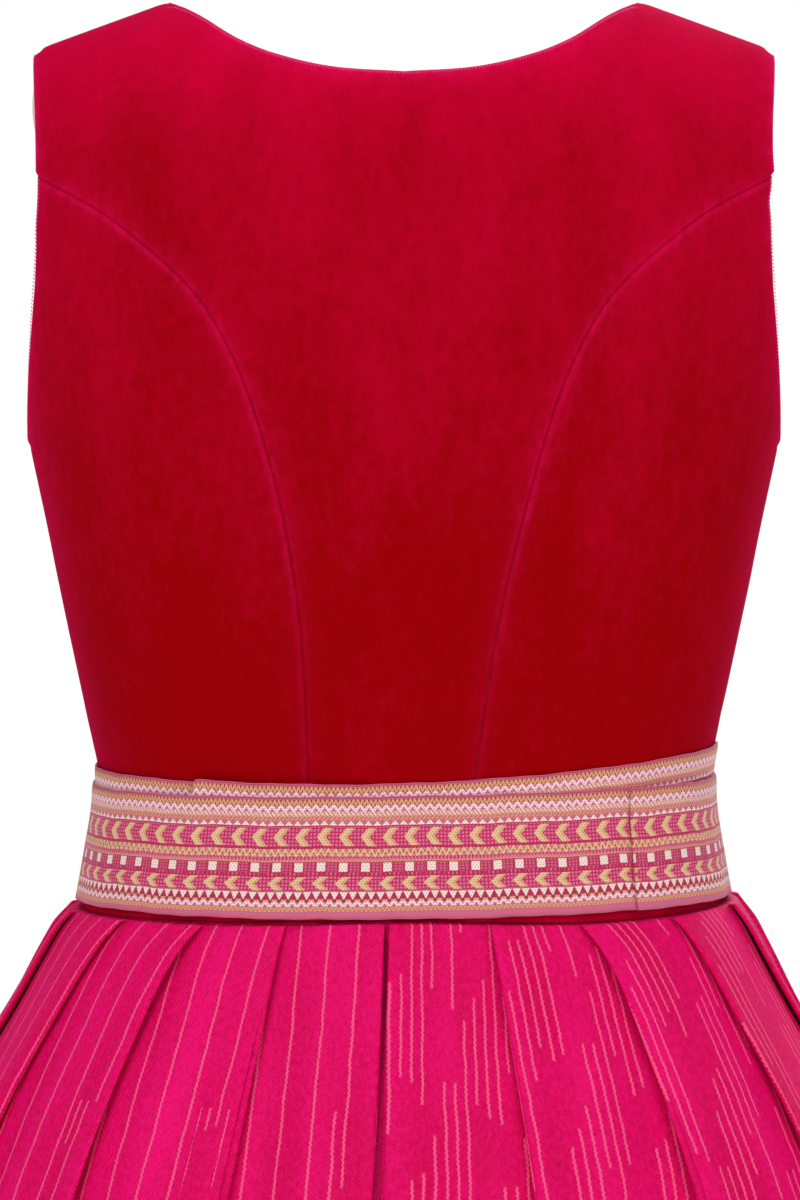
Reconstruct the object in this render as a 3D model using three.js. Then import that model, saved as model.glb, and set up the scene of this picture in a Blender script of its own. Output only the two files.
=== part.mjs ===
// A sleeveless dirndl: a princess-seamed velvet bodice, a pleated twill skirt
// and a woven ribbon wound twice round the waist.
// Millimetres. +X is the wearer's right, +Y the wearer's front, +Z up.
// The origin lies between the shoulders, where the wearer holds the dress up.
import * as THREE from 'three';

// ---------------------------------------------------------------- driving sizes
const SEAM_GAP = 0.3; // between two pieces at a seam
const VELVET = 2.0; // bodice wall: pile cloth on its backing
const TWILL = 1.0; // skirt wall
const RIBBON = 1.2; // belt wall

const NECK_HALF = 98; // the shoulder seam's inner end, from the centre
const TIP_HALF = 156; // its outer end
const TIP_DROP = 21; // how far the outer end lies below the inner one
const SHOULDER_ROLL = 95; // height over which the cloth rolls over the shoulder
const UNDERARM = -187; // top of the side seam
const BACK_CORNER = -76; // where the back princess seam meets the armhole
const FRONT_CORNER = -105; // where the front princess seam meets the armhole
const SCOOP_DEPTH = 152; // front neckline at the centre front
const SCOOP_POWER = 2.6; // how square that neckline is
const WAIST_SEAM = -388.3; // bottom edge of the bodice
const WAIST_RISE = { lift: 2, spread: 55 }; // the seam rides up at the centre back

const ROUNDNESS = 2.3; // power of the figure's oval sections: 2 is an ellipse
const BUST = { x: 84, z: -212, spread: 48, swell: 12 };

// The figure: half width, and depth behind and before the side seam, at each height.
const FIGURE = [
  { z: 0, half: 178, back: 92, front: 92 },
  { z: -40, half: 175, back: 97, front: 98 },
  { z: -76, half: 172, back: 100, front: 104 },
  { z: -120, half: 170, back: 102, front: 112 },
  { z: -160, half: 166, back: 101, front: 118 },
  { z: -187, half: 161, back: 99, front: 120 },
  { z: -225, half: 153, back: 96, front: 118 },
  { z: -260, half: 146, back: 92, front: 110 },
  { z: -300, half: 137.5, back: 88, front: 100 },
  { z: -318, half: 133.6, back: 86.5, front: 97 },
  { z: -330, half: 131.3, back: 86, front: 96 },
  { z: -345, half: 131.2, back: 86.5, front: 96.5 },
  { z: -365, half: 134.3, back: 88.5, front: 98.5 },
  { z: -390, half: 139, back: 92, front: 102 },
];

// Seams and edges, as half widths from the centre at each height.
const BACK_SEAM = [
  { z: -76, x: 155.5 },
  { z: -91, x: 127.3 },
  { z: -102, x: 112.3 },
  { z: -117, x: 94.7 },
  { z: -133, x: 81 },
  { z: -162, x: 66.4 },
  { z: -198, x: 54.9 },
  { z: -244, x: 44.3 },
  { z: -285, x: 38.5 },
  { z: -390, x: 29.5 },
];
const FRONT_SEAM = [
  { z: -105, x: 156 },
  { z: -118, x: 143 },
  { z: -140, x: 125 },
  { z: -165, x: 108 },
  { z: -190, x: 96 },
  { z: -220, x: 86 },
  { z: -260, x: 74 },
  { z: -300, x: 63 },
  { z: -340, x: 55 },
  { z: -390, x: 52 },
];
const ARMHOLE = [
  { z: -21, x: 156 },
  { z: -50, x: 155.5 },
  { z: -105, x: 156 },
  { z: -140, x: 158 },
  { z: -165, x: 159.5 },
  { z: -187, x: 161 },
];
const BACK_NECK = [
  { x: 0, z: -33.4 },
  { x: 30, z: -31 },
  { x: 54, z: -25 },
  { x: 70, z: -18 },
  { x: 85, z: -8 },
  { x: 98, z: 0 },
];

// The skirt's bell: its oval at each height, and how far its pleats have opened (0 to 1).
const BELL = [
  { z: -389.1, half: 139, back: 92, front: 102, open: 0 },
  { z: -396, half: 145, back: 96.5, front: 106, open: 0.015 },
  { z: -408, half: 153.5, back: 104, front: 113, open: 0.05 },
  { z: -428, half: 166.5, back: 116, front: 124, open: 0.1 },
  { z: -458, half: 185, back: 134, front: 141, open: 0.17 },
  { z: -500, half: 206, back: 157, front: 163, open: 0.26 },
  { z: -560, half: 231, back: 184, front: 189, open: 0.38 },
  { z: -650, half: 262, back: 217, front: 221, open: 0.54 },
  { z: -770, half: 295, back: 251, front: 255, open: 0.72 },
  { z: -900, half: 326, back: 284, front: 288, open: 0.87 },
  { z: -1038, half: 355, back: 313, front: 317, open: 1 },
];
const HEM_ROUNDNESS = 2.05;
const PLEAT_LAYER = 1.8; // from one layer of a pressed pleat to the next
const PLEAT_OVERLAP = 30; // how far a pleat's fold runs under its neighbour at the waist
const PLEAT_SINK = 1.5; // how far the lowest layer lies inside the bodice's face
const HEM_WAVE = 27; // depth of the open pleats at the hem
const CENTRE_SHIFT = -7; // the inverted pleat lies a little to the wearer's left
const SIDE_PLEAT = 3; // the side seams lie where this pleat's face dips under the next one

// Each half's pleats, from the centre back to the centre front: the width that shows at the
// waist, and the share of the hem's wave that the pleat takes.
const PLEATS = {
  right: [
    { width: 41, wave: 1.0 },
    { width: 46, wave: 1.12 },
    { width: 42, wave: 0.94 },
    { width: 43, wave: 1.06 },
    { width: 44, wave: 0.9 },
    { width: 42, wave: 1.08 },
    { width: 45, wave: 1.0 },
    { width: 42, wave: 0.93 },
    { width: 43, wave: 1.05 },
  ],
  left: [
    { width: 41, wave: 1.05 },
    { width: 44, wave: 0.92 },
    { width: 39, wave: 1.1 },
    { width: 43, wave: 0.97 },
    { width: 42, wave: 1.1 },
    { width: 44, wave: 0.9 },
    { width: 42, wave: 1.04 },
    { width: 43, wave: 1.0 },
    { width: 42, wave: 0.95 },
  ],
};

// The belt's edges: height at the centre, slope across the body and upward bow at the sides.
const BELT = {
  clearance: 0.8, // from the velvet to the first turn
  layerGap: 0.35,
  step: 6, // degrees from one column to the next
  ramp: 12, // degrees over which a turn climbs on to the layer below
  levels: [-368, -352, -340], // rows between the edges
  underLevel: -333, // one more row for the turn that reaches higher
  underTop: { centre: -329, slope: 0.037, bow: 0.00035 },
  underBottom: { centre: -381, slope: 0.02, bow: 0.00015 },
  outerTop: { centre: -334.2, slope: 0.0144, bow: 0.00004 },
  outerBottom: { centre: -386.4, slope: 0.01, bow: 0.00012 },
  underLap: { from: 108, to: 132 }, // degrees from the right side, round by the back
  outerLap: { from: 24, to: 42 },
};

const MATERIALS = {
  velvet: new THREE.MeshStandardMaterial({ color: 0xa30019, roughness: 0.9, metalness: 0 }),
  twill: new THREE.MeshStandardMaterial({ color: 0xdc005c, roughness: 0.75, metalness: 0 }),
  ribbon: new THREE.MeshStandardMaterial({ color: 0xcc6a80, roughness: 0.8, metalness: 0 }),
};

// ---------------------------------------------------------------- curves from tables
const clamp = (value, low, high) => Math.min(Math.max(value, low), high);
const mix = (a, b, share) => a + (b - a) * share;

/** A smooth curve through one column of a table, over the column `at`. */
function smooth(table, at, key) {
  const rows = [...table].sort((a, b) => a[at] - b[at]);
  const slopes = rows.map((row, i) => {
    const before = rows[Math.max(i - 1, 0)];
    const after = rows[Math.min(i + 1, rows.length - 1)];
    return (after[key] - before[key]) / (after[at] - before[at]);
  });
  return (value) => {
    const v = clamp(value, rows[0][at], rows.at(-1)[at]);
    const i = Math.max(rows.findIndex((row) => row[at] >= v) - 1, 0);
    const [a, b] = [rows[i], rows[i + 1]];
    const span = b[at] - a[at];
    const t = (v - a[at]) / span;
    const ease = t * t * (3 - 2 * t);
    const bend = slopes[i] * t * (1 - t) ** 2 - slopes[i + 1] * t * t * (1 - t);
    return mix(a[key], b[key], ease) + span * bend;
  };
}

const figure = {
  half: smooth(FIGURE, 'z', 'half'),
  back: smooth(FIGURE, 'z', 'back'),
  front: smooth(FIGURE, 'z', 'front'),
};
const backSeam = smooth(BACK_SEAM, 'z', 'x');
const frontSeam = smooth(FRONT_SEAM, 'z', 'x');
const armhole = smooth(ARMHOLE, 'z', 'x');
const backNeck = smooth(BACK_NECK, 'x', 'z');

// ---------------------------------------------------------------- the figure's surface
const BACK = -1;
const FRONT = 1;

/** Height of the shoulder's ridge at x. */
const ridge = (x) => (-TIP_DROP * (Math.abs(x) - NECK_HALF)) / (TIP_HALF - NECK_HALF);

/** Height of the waist seam. */
function waistSeam(x, face) {
  const rise = WAIST_RISE.lift * Math.exp(-((x / WAIST_RISE.spread) ** 2));
  return WAIST_SEAM + (face === BACK ? rise : 0);
}

/** The bodice's outer face over a point of the front or back. */
function skin(x, z, face) {
  const share = clamp(Math.abs(x) / figure.half(z), 0, 1);
  const oval = Math.pow(1 - Math.pow(share, ROUNDNESS), 1 / ROUNDNESS);
  const below = clamp((ridge(x) - z) / SHOULDER_ROLL, 0, 1);
  const roll = Math.sqrt(1 - (1 - below) ** 2);
  const away = ((Math.abs(x) - BUST.x) ** 2 + (z - BUST.z) ** 2) / BUST.spread ** 2;
  const depth = face === BACK ? figure.back(z) : figure.front(z) + BUST.swell * Math.exp(-away);
  return new THREE.Vector3(x, face * depth * oval * roll, z);
}

/** Angle from the side seam of a point at x on the oval at height z, and back again. */
const angleOf = (x, z) => Math.acos(Math.pow(clamp(x / figure.half(z), 0, 1), ROUNDNESS / 2));
const halfAt = (angle, z) => figure.half(z) * Math.pow(Math.cos(angle), 2 / ROUNDNESS);

/** Outward normal of that face at one of its points. */
function skinNormal(point, face) {
  const side = point.x < 0 ? -1 : 1;
  const angle = angleOf(Math.abs(point.x), point.z);
  const over = (turn, z) => skin(side * halfAt(clamp(turn, 0, Math.PI / 2), z), z, face);
  const across = over(angle + 0.01, point.z).sub(over(angle - 0.01, point.z));
  const up = over(angle, point.z + 0.5).sub(over(angle, point.z - 0.5));
  return across.cross(up).normalize().multiplyScalar(side * face);
}

// ---------------------------------------------------------------- walls
/** Draws a grid's border line in by half a seam's gap, towards its neighbour. */
function trimLine(line, neighbour, cut) {
  line.forEach((point, i) => {
    const inward = neighbour[i].clone().sub(point);
    point.addScaledVector(inward, cut / inward.length());
  });
}

/** Trims the named borders (bottom, top, first, last) of a grid of points. */
function trim(grid, cuts) {
  const column = (j) => grid.map((row) => row.at(j));
  if (cuts.first) trimLine(column(0), column(1), cuts.first);
  if (cuts.last) trimLine(column(-1), column(-2), cuts.last);
  if (cuts.bottom) trimLine(grid[0], grid[1], cuts.bottom);
  if (cuts.top) trimLine(grid.at(-1), grid.at(-2), cuts.top);
}

/**
 * A closed cloth wall over a grid of points. Rows run upwards, and columns run from the wearer's
 * left to right across the back, so the wall's outer face looks away from the body.
 */
function clothWall(name, grid, { outside, inside, material, normalAt }) {
  const rows = grid.length;
  const columns = grid[0].length;
  const outer = [];
  const inner = [];
  for (let i = 0; i < rows; i++) {
    for (let j = 0; j < columns; j++) {
      const point = grid[i][j];
      const before = point.clone().sub(grid[i][Math.max(j - 1, 0)]).normalize();
      const after = grid[i][Math.min(j + 1, columns - 1)].clone().sub(point).normalize();
      const up = grid[Math.min(i + 1, rows - 1)][j].clone().sub(grid[Math.max(i - 1, 0)][j]);
      const normal = normalAt ? normalAt(point) : before.add(after).cross(up).normalize();
      outer.push(point.clone().addScaledVector(normal, outside));
      inner.push(point.clone().addScaledVector(normal, -inside));
    }
  }
  const out = (i, j) => i * columns + j;
  const within = (i, j) => rows * columns + out(i, j);
  const faces = [];
  const quad = (a, b, c, d) => faces.push(a, b, c, a, c, d);
  for (let i = 0; i + 1 < rows; i++) {
    for (let j = 0; j + 1 < columns; j++) {
      quad(out(i, j), out(i, j + 1), out(i + 1, j + 1), out(i + 1, j));
      quad(within(i, j), within(i + 1, j), within(i + 1, j + 1), within(i, j + 1));
    }
  }
  for (let j = 0; j + 1 < columns; j++) {
    quad(out(0, j + 1), out(0, j), within(0, j), within(0, j + 1));
    quad(out(rows - 1, j), out(rows - 1, j + 1), within(rows - 1, j + 1), within(rows - 1, j));
  }
  for (let i = 0; i + 1 < rows; i++) {
    quad(out(i, 0), out(i + 1, 0), within(i + 1, 0), within(i, 0));
    quad(out(i + 1, columns - 1), out(i, columns - 1), within(i, columns - 1), within(i + 1, columns - 1));
  }
  const geometry = new THREE.BufferGeometry().setFromPoints([...outer, ...inner]);
  geometry.setIndex(faces);
  geometry.computeVertexNormals();
  const mesh = new THREE.Mesh(geometry, material);
  mesh.name = name;
  return mesh;
}

// ---------------------------------------------------------------- bodice
// Heights of a panel's rows, as shares of the way from the waist seam to its armhole corner.
const ROWS = [
  0, 0.052, 0.097, 0.139, 0.19, 0.245, 0.31, 0.4, 0.49, 0.57, 0.65, 0.72, 0.78, 0.835, 0.88, 0.92, 0.96, 1,
];
const SHOULDER_ROWS = 5;
const SCOOP_START = 0.72; // share of the rows that end on the centre front, below the neckline
const SCOOP_TURN = Math.PI / 3; // part of the neckline's curve that the other panel rows take
const SIDE_COLUMNS = 6;
const FRONT_COLUMNS = 6;
const BACK_COLUMNS = [0, 26, 52, 74, 98, 118, 138, 156]; // their places on the shoulder line

const bodiceWall = (face) => ({
  outside: 0,
  inside: VELVET,
  material: MATERIALS.velvet,
  normalAt: (point) => skinNormal(point, face),
});
const SHOULDER_CUT = 0.5; // off each side of the shoulder seam, whose walls lean together

/** Shares of the way from a panel's corner to its top edge, closer together near the ridge. */
const shoulderShares = Array.from(
  { length: SHOULDER_ROWS },
  (_, i) => 1 - (1 - (i + 1) / SHOULDER_ROWS) ** 2.4,
);

/** The front neckline: its height after a turn from the centre front, and its half width there. */
const scoopZ = (turn) => -SCOOP_DEPTH * Math.pow(Math.cos(turn), 2 / SCOOP_POWER);
const scoopX = (z) =>
  NECK_HALF * Math.pow(1 - Math.pow(-z / SCOOP_DEPTH, SCOOP_POWER), 1 / SCOOP_POWER);

function backCentre() {
  const places = [...BACK_COLUMNS.slice(1).reverse().map((x) => -x), ...BACK_COLUMNS];
  const lower = ROWS.map((share) =>
    places.map((place) => {
      const across = place / TIP_HALF;
      const level = (x) => mix(waistSeam(x, BACK), BACK_CORNER, share);
      const x = across * backSeam(level(across * backSeam(level(0))));
      return skin(x, level(x), BACK);
    }),
  );
  const upper = shoulderShares.map((share) =>
    places.map((place) => {
      const edge = Math.abs(place) > NECK_HALF ? ridge(place) : backNeck(Math.abs(place));
      const z = mix(BACK_CORNER, edge, share);
      return skin((place / TIP_HALF) * armhole(z), z, BACK);
    }),
  );
  const grid = [...lower, ...upper];
  const half = SEAM_GAP / 2;
  trim(grid, { first: half, last: half, top: SHOULDER_CUT });
  return clothWall('back_centre', grid, bodiceWall(BACK));
}

/** A side panel, from the side seam to the princess seam; side is 1 at the wearer's right. */
function sidePanel(name, face, side) {
  const corner = face === BACK ? BACK_CORNER : FRONT_CORNER;
  const seam = face === BACK ? backSeam : frontSeam;
  const sideEdge = (share) => ({ angle: 0, z: mix(WAIST_SEAM, UNDERARM, share) });
  const princess = (share) => {
    const start = waistSeam(seam(WAIST_SEAM), face);
    const z = mix(start, corner, share);
    return { angle: angleOf(seam(z), z), z };
  };
  const waist = (across) => {
    const angle = princess(0).angle * across;
    return { angle, z: waistSeam(halfAt(angle, WAIST_SEAM), face) };
  };
  const arm = (across) => {
    const z = mix(UNDERARM, corner, Math.pow(across, 1.5));
    return { angle: angleOf(armhole(z), z), z };
  };
  // Each inner point is blended from the four edges.
  const blend = (across, share, key) => {
    const sides = mix(sideEdge(share)[key], princess(share)[key], across);
    const ends = mix(waist(across)[key], arm(across)[key], share);
    const low = mix(waist(0)[key], waist(1)[key], across);
    const high = mix(arm(0)[key], arm(1)[key], across);
    return sides + ends - mix(low, high, share);
  };
  const grid = ROWS.map((share) => {
    const row = [];
    for (let j = 0; j <= SIDE_COLUMNS; j++) {
      const across = j / SIDE_COLUMNS;
      const z = blend(across, share, 'z');
      row.push(skin(side * halfAt(blend(across, share, 'angle'), z), z, face));
    }
    return side * face < 0 ? row.reverse() : row;
  });
  const half = SEAM_GAP / 2;
  trim(grid, { first: half, last: half });
  return clothWall(name, grid, bodiceWall(face));
}

/** A front panel, from the centre front and the scooped neckline to the princess seam and armhole. */
function frontPanel(name, side) {
  const rows = ROWS.map((share) => {
    const turn = (SCOOP_TURN * (share - SCOOP_START)) / (1 - SCOOP_START);
    const low = { x: 0, z: mix(WAIST_SEAM, -SCOOP_DEPTH, share / SCOOP_START) };
    const z = mix(WAIST_SEAM, FRONT_CORNER, share);
    return {
      inner: turn > 0 ? { x: scoopX(scoopZ(turn)), z: scoopZ(turn) } : low,
      outer: { x: frontSeam(z), z },
    };
  });
  shoulderShares.forEach((share) => {
    const inner = mix(scoopZ(SCOOP_TURN), 0, share);
    const outer = mix(FRONT_CORNER, -TIP_DROP, share);
    rows.push({ inner: { x: scoopX(inner), z: inner }, outer: { x: armhole(outer), z: outer } });
  });
  const grid = rows.map(({ inner, outer }) => {
    const row = [];
    for (let j = 0; j <= FRONT_COLUMNS; j++) {
      const across = j / FRONT_COLUMNS;
      row.push(skin(side * mix(inner.x, outer.x, across), mix(inner.z, outer.z, across), FRONT));
    }
    return side > 0 ? row.reverse() : row;
  });
  const half = SEAM_GAP / 2;
  trim(grid, { first: half, last: half, top: SHOULDER_CUT });
  return clothWall(name, grid, bodiceWall(FRONT));
}

// ---------------------------------------------------------------- ovals walked by length
const OVAL_STEPS = 720;

/**
 * An oval round the body that is walked by its length. A place is a share of its whole length,
 * from the centre back at 0 towards the wearer's right.
 */
function oval({ half, back, front, z, power }) {
  const points = [];
  for (let i = 0; i <= OVAL_STEPS; i++) {
    const angle = -Math.PI / 2 + (2 * Math.PI * i) / OVAL_STEPS;
    const bulge = (value) => Math.sign(value) * Math.pow(Math.abs(value), 2 / power);
    const depth = Math.sin(angle) < 0 ? back : front;
    points.push(new THREE.Vector3(half * bulge(Math.cos(angle)), depth * bulge(Math.sin(angle)), z));
  }
  const walked = [0];
  points.slice(1).forEach((point, i) => walked.push(walked[i] + point.distanceTo(points[i])));
  const length = walked.at(-1);
  const at = (place) => {
    const target = (place - Math.floor(place)) * length;
    const i = clamp(walked.findIndex((value) => value > target) - 1, 0, OVAL_STEPS - 1);
    return points[i].clone().lerp(points[i + 1], (target - walked[i]) / (walked[i + 1] - walked[i]));
  };
  const STRIDE = 0.004;
  const normal = (place) => {
    const along = at(place + STRIDE).sub(at(place - STRIDE));
    return new THREE.Vector3(along.y, -along.x, 0).normalize();
  };
  return { length, at, normal };
}

/** The bodice's oval at height z. */
function bodiceOval(z) {
  const [half, back, front] = [figure.half(z), figure.back(z), figure.front(z)];
  return oval({ half, back, front, z, power: ROUNDNESS });
}

// ---------------------------------------------------------------- belt
/** Height of one of the belt's edges at x. */
const beltEdge = (edge, x) => edge.centre + edge.slope * x + edge.bow * x * x;

/** How many extra layers lie at an angle because of a lap: 0 or 1, with a ramp on each side. */
function lapLayer(degrees, lap) {
  const up = clamp((degrees - (lap.from - BELT.ramp)) / BELT.ramp, 0, 1);
  const down = clamp((lap.to + BELT.ramp - degrees) / BELT.ramp, 0, 1);
  return Math.min(up, down);
}

/**
 * One turn of the ribbon. It starts under its own end, runs from the wearer's right across the
 * back, round the front, and ends on top of its start.
 */
function beltTurn(name, { lap, top, bottom, levels, below }) {
  const layer = RIBBON + BELT.layerGap;
  const waist = bodiceOval(beltEdge(top, 0));
  const grid = [[], ...levels.map(() => []), []];
  for (let degrees = lap.from; degrees <= 360 + lap.to; degrees += BELT.step) {
    const own = clamp((degrees - (360 + lap.from - BELT.ramp)) / BELT.ramp, 0, 1);
    const under = below.length + below.reduce((sum, other) => sum + lapLayer(degrees % 360, other), 0);
    const lift = BELT.clearance + RIBBON / 2 + layer * (own + under);
    const place = (90 - degrees) / 360;
    const x = waist.at(place).x;
    [beltEdge(bottom, x), ...levels, beltEdge(top, x)].forEach((z, i) => {
      const round = bodiceOval(z);
      grid[i].unshift(round.at(place).addScaledVector(round.normal(place), lift));
    });
  }
  return clothWall(name, grid, { outside: RIBBON / 2, inside: RIBBON / 2, material: MATERIALS.ribbon });
}

// ---------------------------------------------------------------- skirt
// One pleat, pressed at the waist and open at the hem. The face runs from its fold edge outwards,
// and the fold then turns back under the next pleat. At the waist `press` counts millimetres past
// the fold edge (or past the next one, for the fold) plus `span` of the pleat's width, and `layer`
// counts layers. At the hem `along` and `rise` are shares of the pleat's width and of the wave.
const FACE = [
  { span: 0, press: 0.6, layer: 3.5, along: 0.06, rise: 0.98 },
  { span: 0.5, press: 0, layer: 2.6, along: 0.28, rise: 0.62 },
  { span: 1, press: 0, layer: 1.5, along: 0.47, rise: 0.2 },
];
const FOLD = [
  { press: PLEAT_OVERLAP - 3, layer: 0, along: -0.42, rise: 0 },
  { press: PLEAT_OVERLAP, layer: 0.5, along: -0.3, rise: 0.06 },
  { press: PLEAT_OVERLAP - 4, layer: 1, along: -0.24, rise: 0.18 },
  { press: 0.6, layer: 2.5, along: -0.12, rise: 0.6 },
  { press: 0, layer: 3, along: -0.03, rise: 0.95 },
];
// The last face of each half runs down into the centre front instead of under a neighbour.
const LAST_FACE = [
  { span: 0, press: 0.6, layer: 3.5, along: 0.06, rise: 0.98 },
  { span: 0.5, press: 0, layer: 2.6, along: 0.5, rise: 0.55 },
  { span: 1, press: 0, layer: 1.5, along: 1, rise: 0.05 },
];
const CENTRE_GAP = 1.2; // from the centre back to each of the two folds that meet there
const CENTRE_OPENING = 0.5; // how far they part at the hem, in pleats

/** Where each fold edge lies on a half of the skirt, in shares of the half's length. */
function foldEdges(pleats, open) {
  const total = pleats.reduce((sum, pleat) => sum + pleat.width, 0);
  const lead = CENTRE_GAP + CENTRE_OPENING * pleats[0].width * open * open;
  const edges = [lead / (total + lead)];
  pleats.forEach((pleat) => edges.push(edges.at(-1) + pleat.width / (total + lead)));
  return edges;
}

/** The points of one half of the skirt at one height, from the centre back to the centre front. */
function skirtHalf(pleats, side, level, round) {
  const length = round.length / 2 - side * CENTRE_SHIFT * (round.length / waistRing.length);
  const edges = foldEdges(pleats, level.open).map((edge) => edge * length);
  const points = [];
  const add = (along, layer, rise, wave) => {
    const pressed = layer * PLEAT_LAYER - PLEAT_SINK;
    const opened = (rise - 0.5) * HEM_WAVE * wave;
    const place = (side * along) / round.length + CENTRE_SHIFT / waistRing.length;
    const out = mix(pressed, opened, level.open);
    points.push(round.at(place).addScaledVector(round.normal(place), out));
  };
  const fold = (edge, width, wave) =>
    FOLD.forEach(({ press, layer, along, rise }) =>
      add(edge + mix(press, along * width, level.open), layer, rise, wave),
    );
  add(0, 1.5, 0.02, pleats[0].wave);
  fold(edges[0], edges[1] - edges[0], pleats[0].wave);
  pleats.forEach(({ wave }, k) => {
    const width = edges[k + 1] - edges[k];
    const last = k === pleats.length - 1;
    (last ? LAST_FACE : FACE).forEach(({ span, press, layer, along, rise }) =>
      add(edges[k] + mix(span * width + press, along * width, level.open), layer, rise, wave),
    );
    if (!last) fold(edges[k + 1], width, wave);
  });
  return points;
}

const roundAt = (level) =>
  oval({ ...level, power: mix(ROUNDNESS, HEM_ROUNDNESS, level.open) });
const waistRing = roundAt(BELL[0]);

/** The skirt's two widths, joined in the folds at the sides. */
function skirt() {
  const split = FOLD.length + SIDE_PLEAT * (FACE.length + FOLD.length) + FACE.length;
  const back = [];
  const front = [];
  BELL.forEach((level) => {
    const round = roundAt(level);
    const right = skirtHalf(PLEATS.right, 1, level, round);
    const left = skirtHalf(PLEATS.left, -1, level, round);
    back.unshift([...left.slice(1, split + 1).reverse(), ...right.slice(0, split + 1)]);
    front.unshift([...right.slice(split), ...left.slice(split, -1).reverse()]);
  });
  const rise = (point) => (point.y < 0 ? waistSeam(point.x, BACK) - WAIST_SEAM : 0);
  const twillWall = { outside: TWILL / 2, inside: TWILL / 2, material: MATERIALS.twill };
  return Object.entries({ skirt_back: back, skirt_front: front }).map(([name, points]) => {
    const grid = points.map((row) => row.map((point) => point.clone()));
    grid.at(-1).forEach((point) => (point.z += rise(point)));
    trim(grid, { first: SEAM_GAP / 2, last: SEAM_GAP / 2 });
    return clothWall(name, grid, twillWall);
  });
}

// ---------------------------------------------------------------- the dress
const dress = new THREE.Group();
dress.add(
  backCentre(),
  sidePanel('back_side_left', BACK, -1),
  sidePanel('back_side_right', BACK, 1),
  sidePanel('front_side_left', FRONT, -1),
  sidePanel('front_side_right', FRONT, 1),
  frontPanel('front_left', -1),
  frontPanel('front_right', 1),
  beltTurn('belt_under_wrap', {
    lap: BELT.underLap,
    top: BELT.underTop,
    bottom: BELT.underBottom,
    levels: [...BELT.levels, BELT.underLevel],
    below: [],
  }),
  beltTurn('belt_outer_wrap', {
    lap: BELT.outerLap,
    top: BELT.outerTop,
    bottom: BELT.outerBottom,
    levels: BELT.levels,
    below: [BELT.underLap],
  }),
  ...skirt(),
);

export default dress;
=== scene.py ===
# %% [markdown]
# # A sleeveless dirndl with a ribbon wound twice round the waist
#
# The dress hangs from the wearer's shoulders. Its bodice is cut in seven velvet panels, its skirt
# is striped twill laid in knife pleats, and a woven ribbon goes twice round the waist.
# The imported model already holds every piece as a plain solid, so this lesson dresses each solid
# with a finer sheet of the same form and gives it the look of its cloth.

import math

import bpy
import numpy as np
from mathutils import Matrix, Vector


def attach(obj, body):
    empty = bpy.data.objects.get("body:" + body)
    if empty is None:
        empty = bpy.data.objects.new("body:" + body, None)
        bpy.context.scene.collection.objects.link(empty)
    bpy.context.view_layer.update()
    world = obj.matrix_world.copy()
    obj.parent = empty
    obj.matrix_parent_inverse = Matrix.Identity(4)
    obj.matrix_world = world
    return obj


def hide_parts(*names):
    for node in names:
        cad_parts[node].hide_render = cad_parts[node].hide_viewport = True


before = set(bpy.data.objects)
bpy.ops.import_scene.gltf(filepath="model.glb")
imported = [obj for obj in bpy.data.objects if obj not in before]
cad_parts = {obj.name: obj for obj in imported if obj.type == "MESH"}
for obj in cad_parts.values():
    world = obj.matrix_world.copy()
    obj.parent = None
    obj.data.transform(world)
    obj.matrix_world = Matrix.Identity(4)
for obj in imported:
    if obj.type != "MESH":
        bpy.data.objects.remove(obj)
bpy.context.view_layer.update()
print("packed pieces:", ", ".join(sorted(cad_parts)))

# %% [markdown]
# ## Camera
#
# A dress is best looked at from a few metres away with a long lens, because a short one makes the
# nearer parts look too large. The camera stands level with the shoulder blades, behind the wearer,
# and looks slightly down to the waist. The Standard view keeps the strong reds and pinks of the
# cloth as they are dyed, where a film-like view would pale them.

# %% Camera
CAMERA_PLACE = (0.0, -2.5, -0.13)
CAMERA_TARGET = (-0.0017, 0.0, -0.257)
LENS = 174.6
SENSOR_WIDTH = 36
VIEW_END = 60


def aim(thing, target):
    """Turns a camera or a light so that it looks at target."""
    way = Vector(target) - thing.location
    thing.rotation_euler = way.to_track_quat("-Z", "Y").to_euler()


bpy.ops.object.select_all(action="DESELECT")
bpy.ops.object.camera_add(location=CAMERA_PLACE)
camera = bpy.context.object
camera.name = "studio_camera"
camera.data.lens = LENS
camera.data.sensor_width = SENSOR_WIDTH
camera.data.clip_end = VIEW_END
aim(camera, CAMERA_TARGET)
bpy.context.scene.camera = camera
bpy.context.scene.view_settings.view_transform = "Standard"
print("camera lens", camera.data.lens, "mm")

# %% [markdown]
# ## Studio light
#
# Velvet shows its pile only where light grazes it, so large soft lights stand high on both sides
# and a pale sky fills the shadows. Camera rays meet a brighter sky than light rays do: that keeps
# the backdrop white while the cloth isn't washed out.

# %% Soft lights
# Each row is a name, a place, a point that the light looks at, its size in metres and its watts.
LIGHTS = (
    ("key_light", (-1.2, -2.7, 1.8), (0, 0, -0.2), 1.7, 41),
    ("fill_light", (2.1, -2.4, 1.0), (0, 0, -0.3), 1.8, 22),
    ("front_light", (1.2, 3.0, 1.4), (0, 0, -0.5), 2.2, 56),
    ("top_light", (0, -0.5, 2.4), (0, 0, -0.3), 1.6, 24),
)
for name, place, target, size, power in LIGHTS:
    bpy.ops.object.light_add(type="AREA", location=place)
    light = bpy.context.object
    light.name = name
    light.data.size = size
    light.data.energy = power
    aim(light, target)
print(len(LIGHTS), "square soft lights")

# %% Sky
SKY_FILL = 0.36
SKY_SEEN = 1.0

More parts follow.
